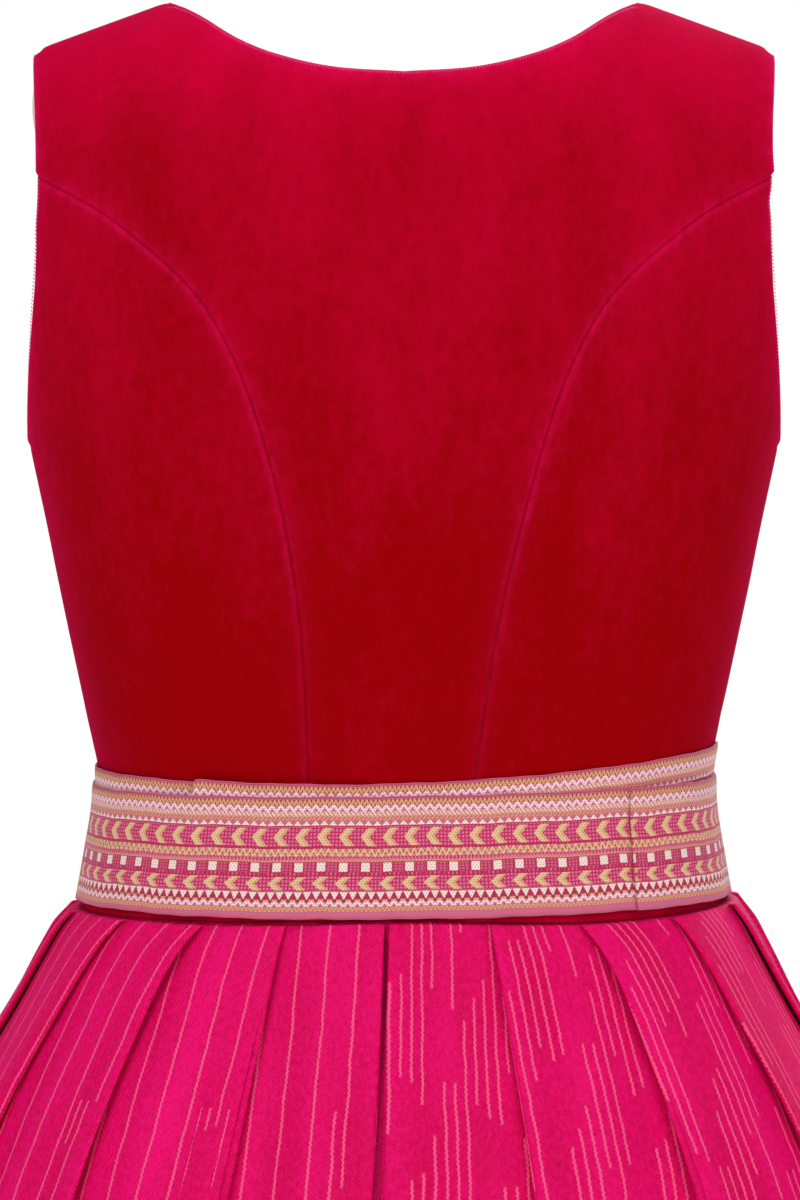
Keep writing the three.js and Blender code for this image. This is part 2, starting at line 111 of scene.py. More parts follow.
sky = bpy.data.worlds.new("studio_sky")
bpy.context.scene.world = sky
sky.use_nodes = True
sky_tree = sky.node_tree
sky_tree.nodes.clear()
ray_kind = sky_tree.nodes.new("ShaderNodeLightPath")
sky_mix = sky_tree.nodes.new("ShaderNodeMixShader")
sky_out = sky_tree.nodes.new("ShaderNodeOutputWorld")
sky_tree.links.new(ray_kind.outputs["Is Camera Ray"], sky_mix.inputs[0])
for socket, strength in ((sky_mix.inputs[1], SKY_FILL), (sky_mix.inputs[2], SKY_SEEN)):
    background = sky_tree.nodes.new("ShaderNodeBackground")
    background.inputs["Color"].default_value = (1, 1, 1, 1)
    background.inputs["Strength"].default_value = strength
    sky_tree.links.new(background.outputs[0], socket)
sky_tree.links.new(sky_mix.outputs[0], sky_out.inputs[0])
print("the sky fills with", SKY_FILL, "and is seen at", SKY_SEEN)

# %% Floor
FLOOR_HEIGHT = -1.46
FLOOR_WIDTH = 12
FLOOR_TONE = 0.8
FLOOR_ROUGHNESS = 0.8
FLOOR_GLOW = 0.62

bpy.ops.mesh.primitive_plane_add(size=FLOOR_WIDTH, location=(0, 0, FLOOR_HEIGHT))
floor = bpy.context.object
floor.name = "studio_floor"
floor_paint = bpy.data.materials.new("pale_floor")
floor_paint.use_nodes = True
floor_shader = floor_paint.node_tree.nodes["Principled BSDF"]
floor_shader.inputs["Base Color"].default_value = (FLOOR_TONE, FLOOR_TONE, FLOOR_TONE, 1)
floor_shader.inputs["Roughness"].default_value = FLOOR_ROUGHNESS
floor_shader.inputs["Emission Color"].default_value = (1, 1, 1, 1)
floor_shader.inputs["Emission Strength"].default_value = FLOOR_GLOW
floor.data.materials.append(floor_paint)
print("floor at", FLOOR_HEIGHT, "m")

# %% [markdown]
# ## Sums as nodes
#
# A woven pattern is a long row of small sums: how far along the repeat, how far from the selvage.
# Written as Math nodes by hand they fill a page, so a small class lets Python's own signs place
# the nodes. A shader group built so is still an ordinary group that can be opened and changed.

# %% Values that build Math nodes
def plug(value, socket):
    """Links a wire to a socket, or sets the socket to a plain value."""
    if isinstance(value, Wire):
        value.tree.links.new(value.socket, socket)
    else:
        socket.default_value = value


class Wire:
    """A number, vector or colour that flows through a shader tree."""

    def __init__(self, tree, socket):
        self.tree = tree
        self.socket = socket

    def step(self, operation, *others):
        """A Math node that takes this value first, and then the others."""
        node = self.tree.nodes.new("ShaderNodeMath")
        node.operation = operation
        for place, value in enumerate((self, *others)):
            plug(value, node.inputs[place])
        return Wire(self.tree, node.outputs[0])

    def __add__(self, other):
        return self.step("ADD", other)

    def __sub__(self, other):
        return self.step("SUBTRACT", other)

    def __mul__(self, other):
        return self.step("MULTIPLY", other)

    def __truediv__(self, other):
        return self.step("DIVIDE", other)

    def __lt__(self, other):
        return self.step("LESS_THAN", other)

    def __gt__(self, other):
        return self.step("GREATER_THAN", other)

    def __abs__(self):
        return self.step("ABSOLUTE")

    def part(self):
        """What is left after the whole repeats."""
        return self.step("FRACT")

    def whole(self):
        return self.step("FLOOR")

    def most(self, other):
        return self.step("MAXIMUM", other)

    def sine(self):
        return self.step("SINE")

    def ramp(self, low, high):
        """0 below low, 1 above high, and a soft rise between them."""
        node = self.tree.nodes.new("ShaderNodeMapRange")
        node.interpolation_type = "SMOOTHSTEP"
        self.tree.links.new(self.socket, node.inputs["Value"])
        node.inputs["From Min"].default_value = low
        node.inputs["From Max"].default_value = high
        return Wire(self.tree, node.outputs["Result"])


def new_group(name, inputs, outputs):
    """An empty shader group with named sockets, and its input values as wires."""
    group = bpy.data.node_groups.new(name, "ShaderNodeTree")
    for label, kind, value in inputs:
        socket = group.interface.new_socket(label, in_out="INPUT", socket_type=kind)
        if value is not None:
            socket.default_value = value
    for label, kind in outputs:
        group.interface.new_socket(label, in_out="OUTPUT", socket_type=kind)
    start = group.nodes.new("NodeGroupInput")
    end = group.nodes.new("NodeGroupOutput")
    wires = {label: Wire(group, start.outputs[label]) for label, kind, value in inputs}
    return group, wires, end


def send(group, end, label, wire):
    """Links a wire to one of the group's outputs."""
    group.links.new(wire.socket, end.inputs[label])


# %% Nodes that are used again and again
def split_vector(wire, count=2):
    """The first numbers of a vector."""
    node = wire.tree.nodes.new("ShaderNodeSeparateXYZ")
    plug(wire, node.inputs[0])
    return [Wire(wire.tree, node.outputs[place]) for place in range(count)]


def clouds(vector, scale, detail=2.0, roughness=0.5):
    """Uneven noise over a vector, from 0 to 1."""
    node = vector.tree.nodes.new("ShaderNodeTexNoise")
    plug(vector, node.inputs["Vector"])
    plug(scale, node.inputs["Scale"])
    node.inputs["Detail"].default_value = detail
    node.inputs["Roughness"].default_value = roughness
    return Wire(vector.tree, node.outputs["Fac"])


def stretched(vector, x, y, z):
    """A vector with each of its axes scaled."""
    node = vector.tree.nodes.new("ShaderNodeMapping")
    plug(vector, node.inputs["Vector"])
    node.inputs["Scale"].default_value = (x, y, z)
    return Wire(vector.tree, node.outputs[0])


def paint(colour, mask, tone):
    """Lays a tone over a colour where the mask is 1. Either may be a wire or three numbers."""
    node = mask.tree.nodes.new("ShaderNodeMix")
    node.data_type = "RGBA"
    plug(mask, node.inputs["Factor"])
    for socket, value in ((node.inputs[6], colour), (node.inputs[7], tone)):
        plug(value if isinstance(value, Wire) else (*value, 1), socket)
    return Wire(mask.tree, node.outputs[2])


def thread_colour(red, green, blue):
    """A dyer's colour on a 0 to 255 scale as the linear colour that a shader wants."""
    return tuple((value / 255) ** 2.2 for value in (red, green, blue))


print("sums as nodes are ready")

# %% [markdown]
# ## Cloth mottle, shared by every cloth
#
# No dyed cloth is one flat colour: the hand of the cloth, pressing and handling leave soft patches.
# One group gives such patches with a fine grain in them, and each cloth sets their size and depth.

# %% The mottle group
mottle, given, end = new_group(
    "cloth_mottle",
    [
        ("Place", "NodeSocketVector", None),
        ("Patches", "NodeSocketFloat", 18.0),
        ("Grain", "NodeSocketFloat", 900.0),
    ],
    [("Shade", "NodeSocketFloat"), ("Height", "NodeSocketFloat")],
)
patch_noise = clouds(given["Place"], given["Patches"], 3, 0.55)
grain_noise = clouds(given["Place"], given["Grain"], 2, 0.6)
send(mottle, end, "Shade", patch_noise * 0.75 + grain_noise * 0.25)
send(mottle, end, "Height", grain_noise)
print("group", mottle.name)

# %% [markdown]
# ## Twill weave, shared by the skirt and the ribbon
#
# In twill each weft thread passes over two and under two, one step further in each row, so fine
# diagonal ribs run across the cloth. The group turns cloth coordinates in metres into those ribs.

# %% The weave group
THREADS_A_RIB = 1.7

weave, given, end = new_group(
    "diagonal_weave",
    [
        ("Cloth", "NodeSocketVector", None),
        ("Pitch", "NodeSocketFloat", 0.0011),
        ("Slant", "NodeSocketFloat", 0.7),
    ],
    [("Height", "NodeSocketFloat")],
)
across, along = split_vector(given["Cloth"])
rib_turn = (across + along * given["Slant"]) / given["Pitch"]
thread_turn = along / given["Pitch"] * THREADS_A_RIB
ribs = abs(rib_turn.part() - 0.5) * 2
threads = abs(thread_turn.part() - 0.5) * 2
send(weave, end, "Height", ribs * 0.7 + threads * 0.3)
print("group", weave.name)

# %% [markdown]
# ## Raised stripes of the skirt cloth
#
# Lighter warp threads float on the face of the twill. On one part of the width every third line
# runs unbroken. On the other the lines lie close together, and each stops and starts again a step
# further down than its neighbour, which is a common broken repeat. The number of a line, counted
# from its place across the cloth, sets where it breaks.

# %% The stripe group
STRIPE_PITCH = 0.0042
STRIPE_WIDTH = 0.0012
STRIPE_DRIFT = 0.0016
TWIST_PITCH = 0.0021
TWIST_SWING = 0.0008
BREAK_LENGTH = 0.104
BREAK_STEP = 0.0125
BREAK_SCATTER = 0.007

stripes, given, end = new_group(
    "raised_stripes",
    [
        ("Cloth", "NodeSocketVector", None),
        ("Broken", "NodeSocketFloat", 0.0),
    ],
    [("Stripe", "NodeSocketFloat")],
)
across, along = split_vector(given["Cloth"])
uneven = clouds(given["Cloth"], 70, 2) - 0.5
twist = abs((along / TWIST_PITCH).part() - 0.5) - 0.25
turn = (across + uneven * STRIPE_DRIFT + twist * TWIST_SWING) / STRIPE_PITCH
number = turn.whole()
from_middle = abs(turn.part() - 0.5) * STRIPE_PITCH
line = from_middle.ramp(STRIPE_WIDTH * 0.65, STRIPE_WIDTH * 0.35)
step_down = number * BREAK_STEP + (number * 2.4).sine() * BREAK_SCATTER
run = ((along + step_down) / BREAK_LENGTH).part()
share = (number * 1.7).sine() * 0.2 + 0.58
shown = (share - run).ramp(-0.004, 0.004) * run.ramp(0.0, 0.01)
third = (number / 3).part() < 0.2
broken, plain = given["Broken"], given["Broken"] * -1 + 1
send(stripes, end, "Stripe", line * (shown * broken + third * plain))
print("group", stripes.name, "pitch", STRIPE_PITCH, "m")

# %% [markdown]
# ## Chart of the woven ribbon
#
# A jacquard ribbon is charted row by row before it is woven. The chart here counts millimetres down
# from the top selvage: zigzag borders of gold and white, two rows of open arrowheads, and a line of
# small squares between them. Each row is a generic folk motif with a short repeat.

# %% The ribbon's tones and motifs
ROSE = thread_colour(214, 104, 138)
CREAM = thread_colour(254, 236, 222)
STRAW = thread_colour(236, 206, 150)
GOLD = thread_colour(229, 173, 116)
SALMON = thread_colour(218, 120, 124)
CRIMSON = thread_colour(186, 16, 78)
MAGENTA = thread_colour(196, 16, 92)
BLUSH = thread_colour(255, 224, 230)
PINK = thread_colour(238, 120, 158)
BROWN = thread_colour(154, 44, 54)
GAP = thread_colour(176, 22, 74)

RIBBON_REPEAT = 8.85
BORDER_REPEAT = 3.6
SLANT_REPEAT = 1.8


def peak(along, repeat, shift=0.0):
    """A triangle wave along the ribbon: 0 in the middle of each repeat and 1 at its ends."""
    return abs((along / repeat + shift).part() - 0.5) * 2


print("ribbon repeat", RIBBON_REPEAT, "mm, border repeat", BORDER_REPEAT, "mm")

# %% The chart group and its speckled ground
chart, given, end = new_group(
    "ribbon_chart",
    [("Cloth", "NodeSocketVector", None)],
    [("Color", "NodeSocketColor"), ("Height", "NodeSocketFloat")],
)
along, down = (metres * 1000 for metres in split_vector(given["Cloth"]))
speckle = (peak(along, 1.47) < 0.62) * (peak(down, 1.5, 0.3) < 0.62)
tone = paint(MAGENTA, speckle, PINK)
raised = speckle * 0.4
print("group", chart.name, "starts with its ground")


# %% Motifs of a row, and rows laid over the ground
def zigzag(row, repeat, weight, shift=0.0):
    """A line that runs up and down between the edges of its row."""
    return abs(row - peak(along, repeat, shift)) < weight


def slant(row):
    """Short diagonals that turn back in the middle of their row."""
    return (along / SLANT_REPEAT + abs(row - 0.5) * 1.6).part()


def arrowhead(row, weight, shift):
    """An open arrowhead that points back along the ribbon."""
    arm = abs(row - 0.5) * 2
    turn = ((along + shift) / RIBBON_REPEAT).part()
    return (abs(turn - arm * 0.36 - 0.22) < weight) * (arm < 0.92)


def lay_rows(tone, raised, rows):
    """Lays rows over the chart: top, bottom, motif in the row, colour, and height if it stands up."""
    for top, bottom, motif, colour, height in rows:
        mask = (down > top) * (down < bottom)
        if motif:
            mask = mask * motif((down - top) / (bottom - top))
        tone = paint(tone, mask, colour)
        if height:
            raised = raised.most(mask * height)
    return tone, raised


# %% Top border: selvage, gold and white zigzags, small white teeth
TOP_BORDER = (
    (-1.0, 1.1, None, ROSE, 0),
    (0.42, 0.66, None, BROWN, 0),
    (1.1, 3.7, None, BROWN, 0),
    (1.1, 3.7, lambda row: zigzag(row, BORDER_REPEAT / 2, 0.42), GOLD, 0.8),
    (3.3, 6.0, lambda row: row > 0.2, ROSE, 0),
    (3.3, 6.0, lambda row: zigzag(row, BORDER_REPEAT, 0.4, 0.5), BLUSH, 1.0),
    (6.0, 9.8, None, SALMON, 0),
    (6.0, 9.8, lambda row: slant(row) < 0.42, GOLD, 0.7),
    (6.0, 9.8, lambda row: (slant(row) - 0.55).ramp(0.0, 0.01) * (row < 0.5), BLUSH, 0.5),
    (9.8, 11.8, None, ROSE, 0),
    (9.8, 11.8, lambda row: peak(along, BORDER_REPEAT, 0.5) < row, CREAM, 1.0),
    (11.8, 12.3, None, CRIMSON, 0),
)
tone, raised = lay_rows(tone, raised, TOP_BORDER)
print(len(TOP_BORDER), "lays in the top border")

# %% First row of arrowheads, and the zigzag under it
UPPER_ARROWS = (
    (12.6, 20.6, lambda row: arrowhead(row, 0.2, 0.0), STRAW, 1.0),
    (12.6, 20.6, lambda row: arrowhead(row, 0.05, -1.1), GOLD, 0.6),
    (20.6, 21.4, lambda row: peak(along, 1.6) < 0.8, CRIMSON, 0),
    (21.4, 24.7, lambda row: zigzag(row, BORDER_REPEAT * 0.8, 0.32), STRAW, 0.8),
    (21.4, 24.7, lambda row: zigzag(row, BORDER_REPEAT * 0.8, 0.12, 0.5), GOLD, 0.6),
    (24.9, 26.1, lambda row: (along / 1.5).part() < 0.5, PINK, 0.5),
    (26.2, 26.8, None, GOLD, 0.4),
)
tone, raised = lay_rows(tone, raised, UPPER_ARROWS)
print(len(UPPER_ARROWS), "lays in the upper arrowheads")

# %% The line of small squares
turn = (along / RIBBON_REPEAT).part()


def box(row):
    return (abs(turn - 0.78) < 0.26) * (row > 0.08)


def hatch(row):
    return box(row) * (peak(along, 1.5) < 0.3).most(peak(down, 1.2) < 0.3)


def square(row):
    return (abs(turn - 0.28) < 0.195) * (row > 0.08) * (row < 0.95)


SQUARES = (
    (26.8, 31.1, None, CRIMSON, 0),
    (26.8, 31.1, box, ROSE, 0),
    (26.8, 31.1, hatch, CRIMSON, 0),
    (26.8, 31.1, square, CREAM, 1.0),
    (31.3, 32.9, lambda row: peak(along, 1.8) < 0.6, CRIMSON, 0),
)
tone, raised = lay_rows(tone, raised, SQUARES)
print(len(SQUARES), "lays in the squares")

# %% Second row of arrowheads, white teeth, zigzags and the plain selvage
BOTTOM_BORDER = (
    (32.8, 38.7, lambda row: arrowhead(row, 0.2, 0.9), STRAW, 1.0),
    (32.8, 38.7, lambda row: arrowhead(row, 0.05, -0.2), GOLD, 0.6),
    (38.7, 39.2, None, ROSE, 0),
    (39.2, 42.5, None, CRIMSON, 0),
    (39.2, 42.5, lambda row: peak(along, BORDER_REPEAT) < row * -0.9 + 0.92, CREAM, 1.0),
    (42.3, 43.4, None, BROWN, 0),
    (42.3, 43.4, lambda row: peak(along, BORDER_REPEAT, 0.5) < 0.6, GOLD, 0.8),
    (43.1, 45.3, lambda row: row > 0.1, ROSE, 0),
    (43.1, 45.3, lambda row: zigzag(row, BORDER_REPEAT, 0.42, 0.5), BLUSH, 1.0),
    (45.3, 47.3, None, SALMON, 0),
    (45.3, 47.3, lambda row: zigzag(row, BORDER_REPEAT / 2, 0.35), GOLD, 0.7),
    (47.3, 60.0, None, ROSE, 0),
)
tone, raised = lay_rows(tone, raised, BOTTOM_BORDER)
print(len(BOTTOM_BORDER), "lays in the bottom border")

# %% Gaps between the threads
GAP_PITCH = 1.3
GAP_ROW = 1.05
WOVEN_TOP = 0.9
WOVEN_BOTTOM = 47.5

thread_row = (down / GAP_ROW).whole()
gap = ((along / GAP_PITCH + thread_row * 0.5).part() < 0.42) * ((down / GAP_ROW).part() < 0.5)
woven = (down > WOVEN_TOP) * (down < WOVEN_BOTTOM)
tone = paint(tone, gap * woven * 0.5, GAP)
raised = raised * (gap * woven * -0.5 + 1)

send(chart, end, "Color", tone)
send(chart, end, "Height", raised)
print("group", chart.name, "has", len(chart.nodes), "nodes")

# %% [markdown]
# ## Materials
#
# Velvet is a dark cloth under a bright bloom: its pile stands up and catches light at the edges of a
# form, which the shader's sheen gives, and a painted sheen highlight in its colour adds to it on rolled
# edges and beside seams. The twill is smoother and brighter. All three read the shared groups, and each
# keeps its own constant sheen and roughness on the shader itself.

# %% Parts of a cloth material
def new_cloth(name, roughness, sheen, sheen_roughness, sheen_tint, specular):
    """A material whose constant values are set on the shader itself."""
    material = bpy.data.materials.new(name)
    material.use_nodes = True
    shader = material.node_tree.nodes["Principled BSDF"]
    shader.inputs["Roughness"].default_value = roughness
    shader.inputs["Sheen Weight"].default_value = sheen
    shader.inputs["Sheen Roughness"].default_value = sheen_roughness
    shader.inputs["Sheen Tint"].default_value = (*sheen_tint, 1)
    shader.inputs["Specular IOR Level"].default_value = specular
    return material, material.node_tree, shader


def add_group(tree, group, **values):
    """Places a shared group with its own values, and gives its outputs as wires."""
    node = tree.nodes.new("ShaderNodeGroup")
    node.node_tree = group
    for label, value in values.items():
        plug(value, node.inputs[label])
    return {socket.name: Wire(tree, socket) for socket in node.outputs}


def bump(tree, shader, height, depth):
    """Feeds a height in 0 to 1 to the shader's normal; depth is in metres."""
    node = tree.nodes.new("ShaderNodeBump")
    node.inputs["Strength"].default_value = 1.0
    node.inputs["Distance"].default_value = depth
    tree.links.new(height.socket, node.inputs["Height"])
    tree.links.new(node.outputs[0], shader.inputs["Normal"])


def object_place(tree):
    """Places on the piece itself, in metres."""
    return Wire(tree, tree.nodes.new("ShaderNodeTexCoord").outputs["Object"])


def cloth_place(tree):
    """Places on the flat cloth, in metres."""
    node = tree.nodes.new("ShaderNodeUVMap")
    node.uv_map = "cloth"
    return Wire(tree, node.outputs[0])


print("cloth materials can be mixed")

# %% Ruby velvet
# Between these heights, in metres, the velvet's colour is painted paler: painted light on the upper back
# and the shoulders, painted light on the strip under the belt where the belt's shadow falls, and a
# painted sheen highlight that grows towards the top.
BACK_PAINTED_LIGHT = (-0.34, -0.03)
SHOULDER_PAINTED_LIGHT = (-0.075, -0.005)
PAINTED_LIGHT_BELOW_BELT = (-0.378, -0.386)
PAINTED_SHEEN_RISES = (-0.34, -0.14)
VELVET_DEEP = thread_colour(148, 0, 14)
VELVET_LIGHT = thread_colour(204, 0, 58)
VELVET_PAINTED_SHEEN = thread_colour(226, 24, 92)

velvet, tree, shader = new_cloth("ruby_velvet", 0.9, 0.5, 0.3, (1.0, 0.0, 0.2), 0.02)
place = object_place(tree)
patches = add_group(tree, mottle, Place=stretched(place, 1.0, 1.0, 0.55), Patches=16.0, Grain=1300.0)
level = split_vector(place, 3)[2]
# painted light: the upper back and the shoulders are painted paler, as light from above would make them
painted_top_light = level.ramp(*BACK_PAINTED_LIGHT) * 0.42 + level.ramp(*SHOULDER_PAINTED_LIGHT) * 0.48
# painted light: the narrow strip of velvet just under the belt is painted paler against the belt's
# shadow
belt_shadow_painted_out = level.ramp(*PAINTED_LIGHT_BELOW_BELT) * 0.7
strokes = clouds(stretched(place, 1.0, 1.0, 0.35), 34, 3, 0.6) - 0.5
crushed = clouds(stretched(place, 1.0, 1.0, 0.6), 240, 2, 0.7) - 0.5
uneven = strokes * 0.55 + crushed * 0.55 + (patches["Shade"] - 0.5) * 0.5
# the paler tone is laid by the painted light above together with tone that differs at random
tone = paint(VELVET_DEEP, painted_top_light + belt_shadow_painted_out + uneven - 0.05, VELVET_LIGHT)
# painted sheen highlight: a paler pink laid on rolled edges and in a line beside seams, stronger towards
# the top and speckled by the crushed noise
painted_sheen = Wire(tree, tree.nodes.new("ShaderNodeAttribute").outputs["Fac"])
painted_sheen.socket.node.attribute_name = "painted_sheen"
near_top = level.ramp(*PAINTED_SHEEN_RISES) * 0.7 + 0.3
tone = paint(tone, painted_sheen * near_top * (crushed * 1.8 + 0.9), VELVET_PAINTED_SHEEN)
tree.links.new(tone.socket, shader.inputs["Base Color"])
bump(tree, shader, patches["Height"], 0.0005)
print(velvet.name, "has", len(tree.nodes), "nodes")

# %% Striped twill
MM = 0.001
CLOTH_PER_PLEAT = 104.0
TWILL_SHADE = thread_colour(194, 0, 66)
TWILL_FACE = thread_colour(248, 23, 122)
TWILL_STRIPE = thread_colour(252, 80, 132)
UNDER_BELT = 0.07
BESIDE_FOLD = 0.88


def striped_twill(name, broken_from, broken_to):
    """The skirt's cloth. Its stripes are broken between two places across the width, in metres."""
    material, tree, shader = new_cloth(name, 0.6, 0.1, 0.35, (1.0, 0.0, 0.3), 0.05)
    cloth = cloth_place(tree)
    ribs = add_group(tree, weave, Cloth=cloth, Pitch=0.0013, Slant=-0.85)["Height"]
    across, along = split_vector(cloth)
    by_fold = ((across / (CLOTH_PER_PLEAT * MM)).part() > BESIDE_FOLD) * (along > UNDER_BELT)
    broken = ((across > broken_from) * (across < broken_to)).most(by_fold)
    line = add_group(tree, stripes, Cloth=cloth, Broken=broken)["Stripe"]
    patches = add_group(tree, mottle, Place=object_place(tree), Patches=22.0, Grain=1500.0)
    specks = clouds(stretched(cloth, 1.0, 0.6, 1.0), 620, 2, 0.7)
    bands = clouds(stretched(cloth, 1.0, 0.08, 1.0), 46, 2, 0.5)
    shade = patches["Shade"] * 0.2 + ribs * 0.3 + specks * 0.55 + bands * 0.45
    tone = paint(TWILL_SHADE, shade.ramp(0.5, 1.04), TWILL_FACE)
    tone = paint(tone, line * (specks * 0.9 + 0.45), TWILL_STRIPE)
    tree.links.new(tone.socket, shader.inputs["Base Color"])
    bump(tree, shader, line.most(ribs * 0.35), 0.0005)
    return material


twill_back = striped_twill("striped_twill_back", 0.364, 9.0)
twill_front = striped_twill("striped_twill_front", -9.0, 0.468)
print(twill_back.name, "and", twill_front.name, "have the same stripes, broken in other places")

# %% Woven ribbon, lining and thread
RIB_GROOVE_PAINTED_SHADE = (0.35, 0.04, 0.08)

ribbon, tree, shader = new_cloth("woven_ribbon", 0.6, 0.2, 0.4, (1, 1, 1), 0.3)
cloth = cloth_place(tree)
drawn = add_group(tree, chart, Cloth=cloth)
ribs = add_group(tree, weave, Cloth=cloth, Pitch=0.00085, Slant=1.0)["Height"]
# painted shade: the grooves between the weave's ribs are darkened in the colour
tone = paint(drawn["Color"], (ribs * -1 + 1) * 0.26, RIB_GROOVE_PAINTED_SHADE)
tree.links.new(tone.socket, shader.inputs["Base Color"])
bump(tree, shader, drawn["Height"] * 0.8 + ribs * 0.3, 0.00035)

lining, tree, shader = new_cloth("cream_lining", 0.8, 0.1, 0.5, (1, 1, 1), 0.2)
shader.inputs["Base Color"].default_value = (0.74, 0.66, 0.55, 1)
thread, tree, shader = new_cloth("pink_thread", 0.5, 0.1, 0.4, (1, 1, 1), 0.4)
shader.inputs["Base Color"].default_value = (*thread_colour(214, 60, 116), 1)
print("materials:", ", ".join(sorted(material.name for material in bpy.data.materials)))

# %% [markdown]
# ## A sheet of cloth from a rule
#
# Cloth that lies on a figure follows one rule all over: the point of the figure's surface at each
# place of the cut piece. So each sheet starts as a flat grid, and every vertex moves to the point
# that the rule gives. Solidify then makes the thickness of the cloth.

# %% Grid, weave coordinates and thickness
def crowd(share, pull=0.8):
    """Draws grid lines together towards both borders, where the cloth curves most."""
    return (1 - pull) * share + pull * (0.5 - 0.5 * np.cos(math.pi * share))


def cloth_sheet(name, columns, rows, rule, cloth_rule, material, back_material=None, painted_sheen_rule=None):
    """A single sheet. rule and cloth_rule take arrays u and v, and give millimetres."""
    bpy.ops.object.select_all(action="DESELECT")
    bpy.ops.mesh.primitive_grid_add(x_subdivisions=columns, y_subdivisions=rows, size=2)
    piece = bpy.context.object
    piece.name = name
    piece.data.name = name
    mesh = piece.data
    flat = np.empty(len(mesh.vertices) * 3)
    mesh.vertices.foreach_get("co", flat)
    share = flat.reshape(-1, 3)[:, :2] * 0.5 + 0.5
    points = rule(share[:, 0], share[:, 1]) * MM
    mesh.vertices.foreach_set("co", points.reshape(-1))
    corner = np.empty(len(mesh.loops), dtype=int)
    mesh.loops.foreach_get("vertex_index", corner)
    spots = cloth_rule(share[:, 0], share[:, 1]) * MM
    mesh.uv_layers[0].name = "cloth"
    mesh.uv_layers[0].data.foreach_set("uv", spots[corner].reshape(-1))
    # painted sheen highlight: its strength is stored on each point for the velvet's colour
    if painted_sheen_rule:
        painted_sheen = mesh.attributes.new("painted_sheen", "FLOAT", "POINT")
        painted_sheen.data.foreach_set("value", painted_sheen_rule(share[:, 0], share[:, 1]))
    mesh.materials.append(material)
    mesh.materials.append(back_material or material)
    mesh.update()
    return piece


def thicken(piece, thickness, inwards=True):
    """Gives the sheet its thickness, in metres, with the back in its own material."""
    wall = piece.modifiers.new("cloth_thickness", "SOLIDIFY")
    wall.thickness = thickness
    wall.offset = -1.0 if inwards else 0.0
    wall.use_even_offset = False
    wall.material_offset = 1
    bpy.context.view_layer.objects.active = piece
    bpy.ops.object.modifier_apply(modifier=wall.name)
    bpy.ops.object.select_all(action="DESELECT")
    piece.select_set(True)
    bpy.ops.object.shade_smooth()
    piece.select_set(False)
    return piece


def sheet_area(piece):
    """Area of one side of a closed sheet, in square metres."""
    return sum(face.area for face in piece.data.polygons) / 2


print("cloth sheets are measured in millimetres and built in metres")

# %% [markdown]
# ## The figure under the bodice
#
# A dressmaker works on a form. Its half width and its depth behind and before are given at a few
# heights, a smooth curve joins them, and each level is a rounded oval. Over the shoulders the oval
# shrinks to a ridge, where the back and front panels meet.

# %% Smooth curves through short tables
def smooth(measures, at, key):
    """A smooth curve through one column of a table, over the column at."""
    rows = sorted(measures, key=lambda row: row[at])
    stops = np.array([row[at] for row in rows], dtype=float)
    values = np.array([row[key] for row in rows], dtype=float)
    last = len(rows) - 1
    before = np.maximum(np.arange(last + 1) - 1, 0)
    after = np.minimum(np.arange(last + 1) + 1, last)
    slopes = (values[after] - values[before]) / (stops[after] - stops[before])

    def curve(value):
        v = np.clip(value, stops[0], stops[-1])
        i = np.clip(np.searchsorted(stops, v, side="right") - 1, 0, last - 1)
        span = stops[i + 1] - stops[i]
        t = (v - stops[i]) / span
        ease = t * t * (3 - 2 * t)
        bend = slopes[i] * t * (1 - t) ** 2 - slopes[i + 1] * t * t * (1 - t)
        return values[i] + (values[i + 1] - values[i]) * ease + span * bend

    return curve


def table(names, *rows):
    """A short table as a list of named rows."""
    return [dict(zip(names.split(), row)) for row in rows]


def hump(distance, middle, width):
    """1 at the middle, with a soft fall to 0 on both sides of it."""
    return np.exp(-(((distance - middle) / width) ** 2))


FIGURE = table(
    "z half back front",
    (0, 178, 92, 92),
    (-40, 175, 97, 98),
    (-76, 172, 100, 104),
    (-120, 170, 102, 112),
    (-160, 166, 101, 118),
    (-187, 161, 99, 120),
    (-225, 153, 96, 118),
    (-260, 146, 92, 110),
    (-300, 137.5, 88, 100),
    (-318, 133.6, 86.5, 97),
    (-330, 131.3, 86, 96),
    (-345, 131.2, 86.5, 96.5),
    (-365, 134.3, 88.5, 98.5),
    (-390, 139, 92, 102),
)
figure_half = smooth(FIGURE, "z", "half")
figure_back = smooth(FIGURE, "z", "back")
figure_front = smooth(FIGURE, "z", "front")
print("the form is", 2 * float(figure_half(-340)), "mm wide at the waist")

# %% The bodice's measures, in millimetres
NECK_HALF = 98.0
NECK_ROUND = 1.6
NECK_ROUND_SPAN = 7.0
TIP_HALF = 158.6
TIP_ROUND = 3.6
TIP_ROUND_SPAN = 8.6
SHOULDER_SLOPE = 0.362
SHOULDER_ROLL = 95.0
UNDERARM = -187.0
BACK_CORNER = -76.0
FRONT_CORNER = -105.0
SCOOP_DEPTH = 152.0
SCOOP_POWER = 2.6
WAIST_SEAM = -388.3
CENTRE_RISE = 2.0
CENTRE_RISE_SPAN = 55.0
SIDE_TILT = 4.0
SIDE_TILT_FROM = 60.0
SIDE_TILT_OVER = 80.0
ROUNDNESS = 2.3
BUST = {"x": 84, "z": -212, "spread": 48, "swell": 12}
BACK = -1
FRONT = 1
print("bodice from", WAIST_SEAM, "to 0 mm")


# %% The bodice's surface
def ridge(x):
    """Height of the shoulder's ridge at x: a straight slope that rounds off at both ends."""
    half = np.abs(x)
    at_tip = TIP_ROUND * np.clip((half - TIP_HALF + TIP_ROUND_SPAN) / TIP_ROUND_SPAN, 0, 1) ** 3
    at_neck = NECK_ROUND * np.clip((NECK_HALF + NECK_ROUND_SPAN - half) / NECK_ROUND_SPAN, 0, 1) ** 2
    return -SHOULDER_SLOPE * (half - NECK_HALF) - at_tip - at_neck


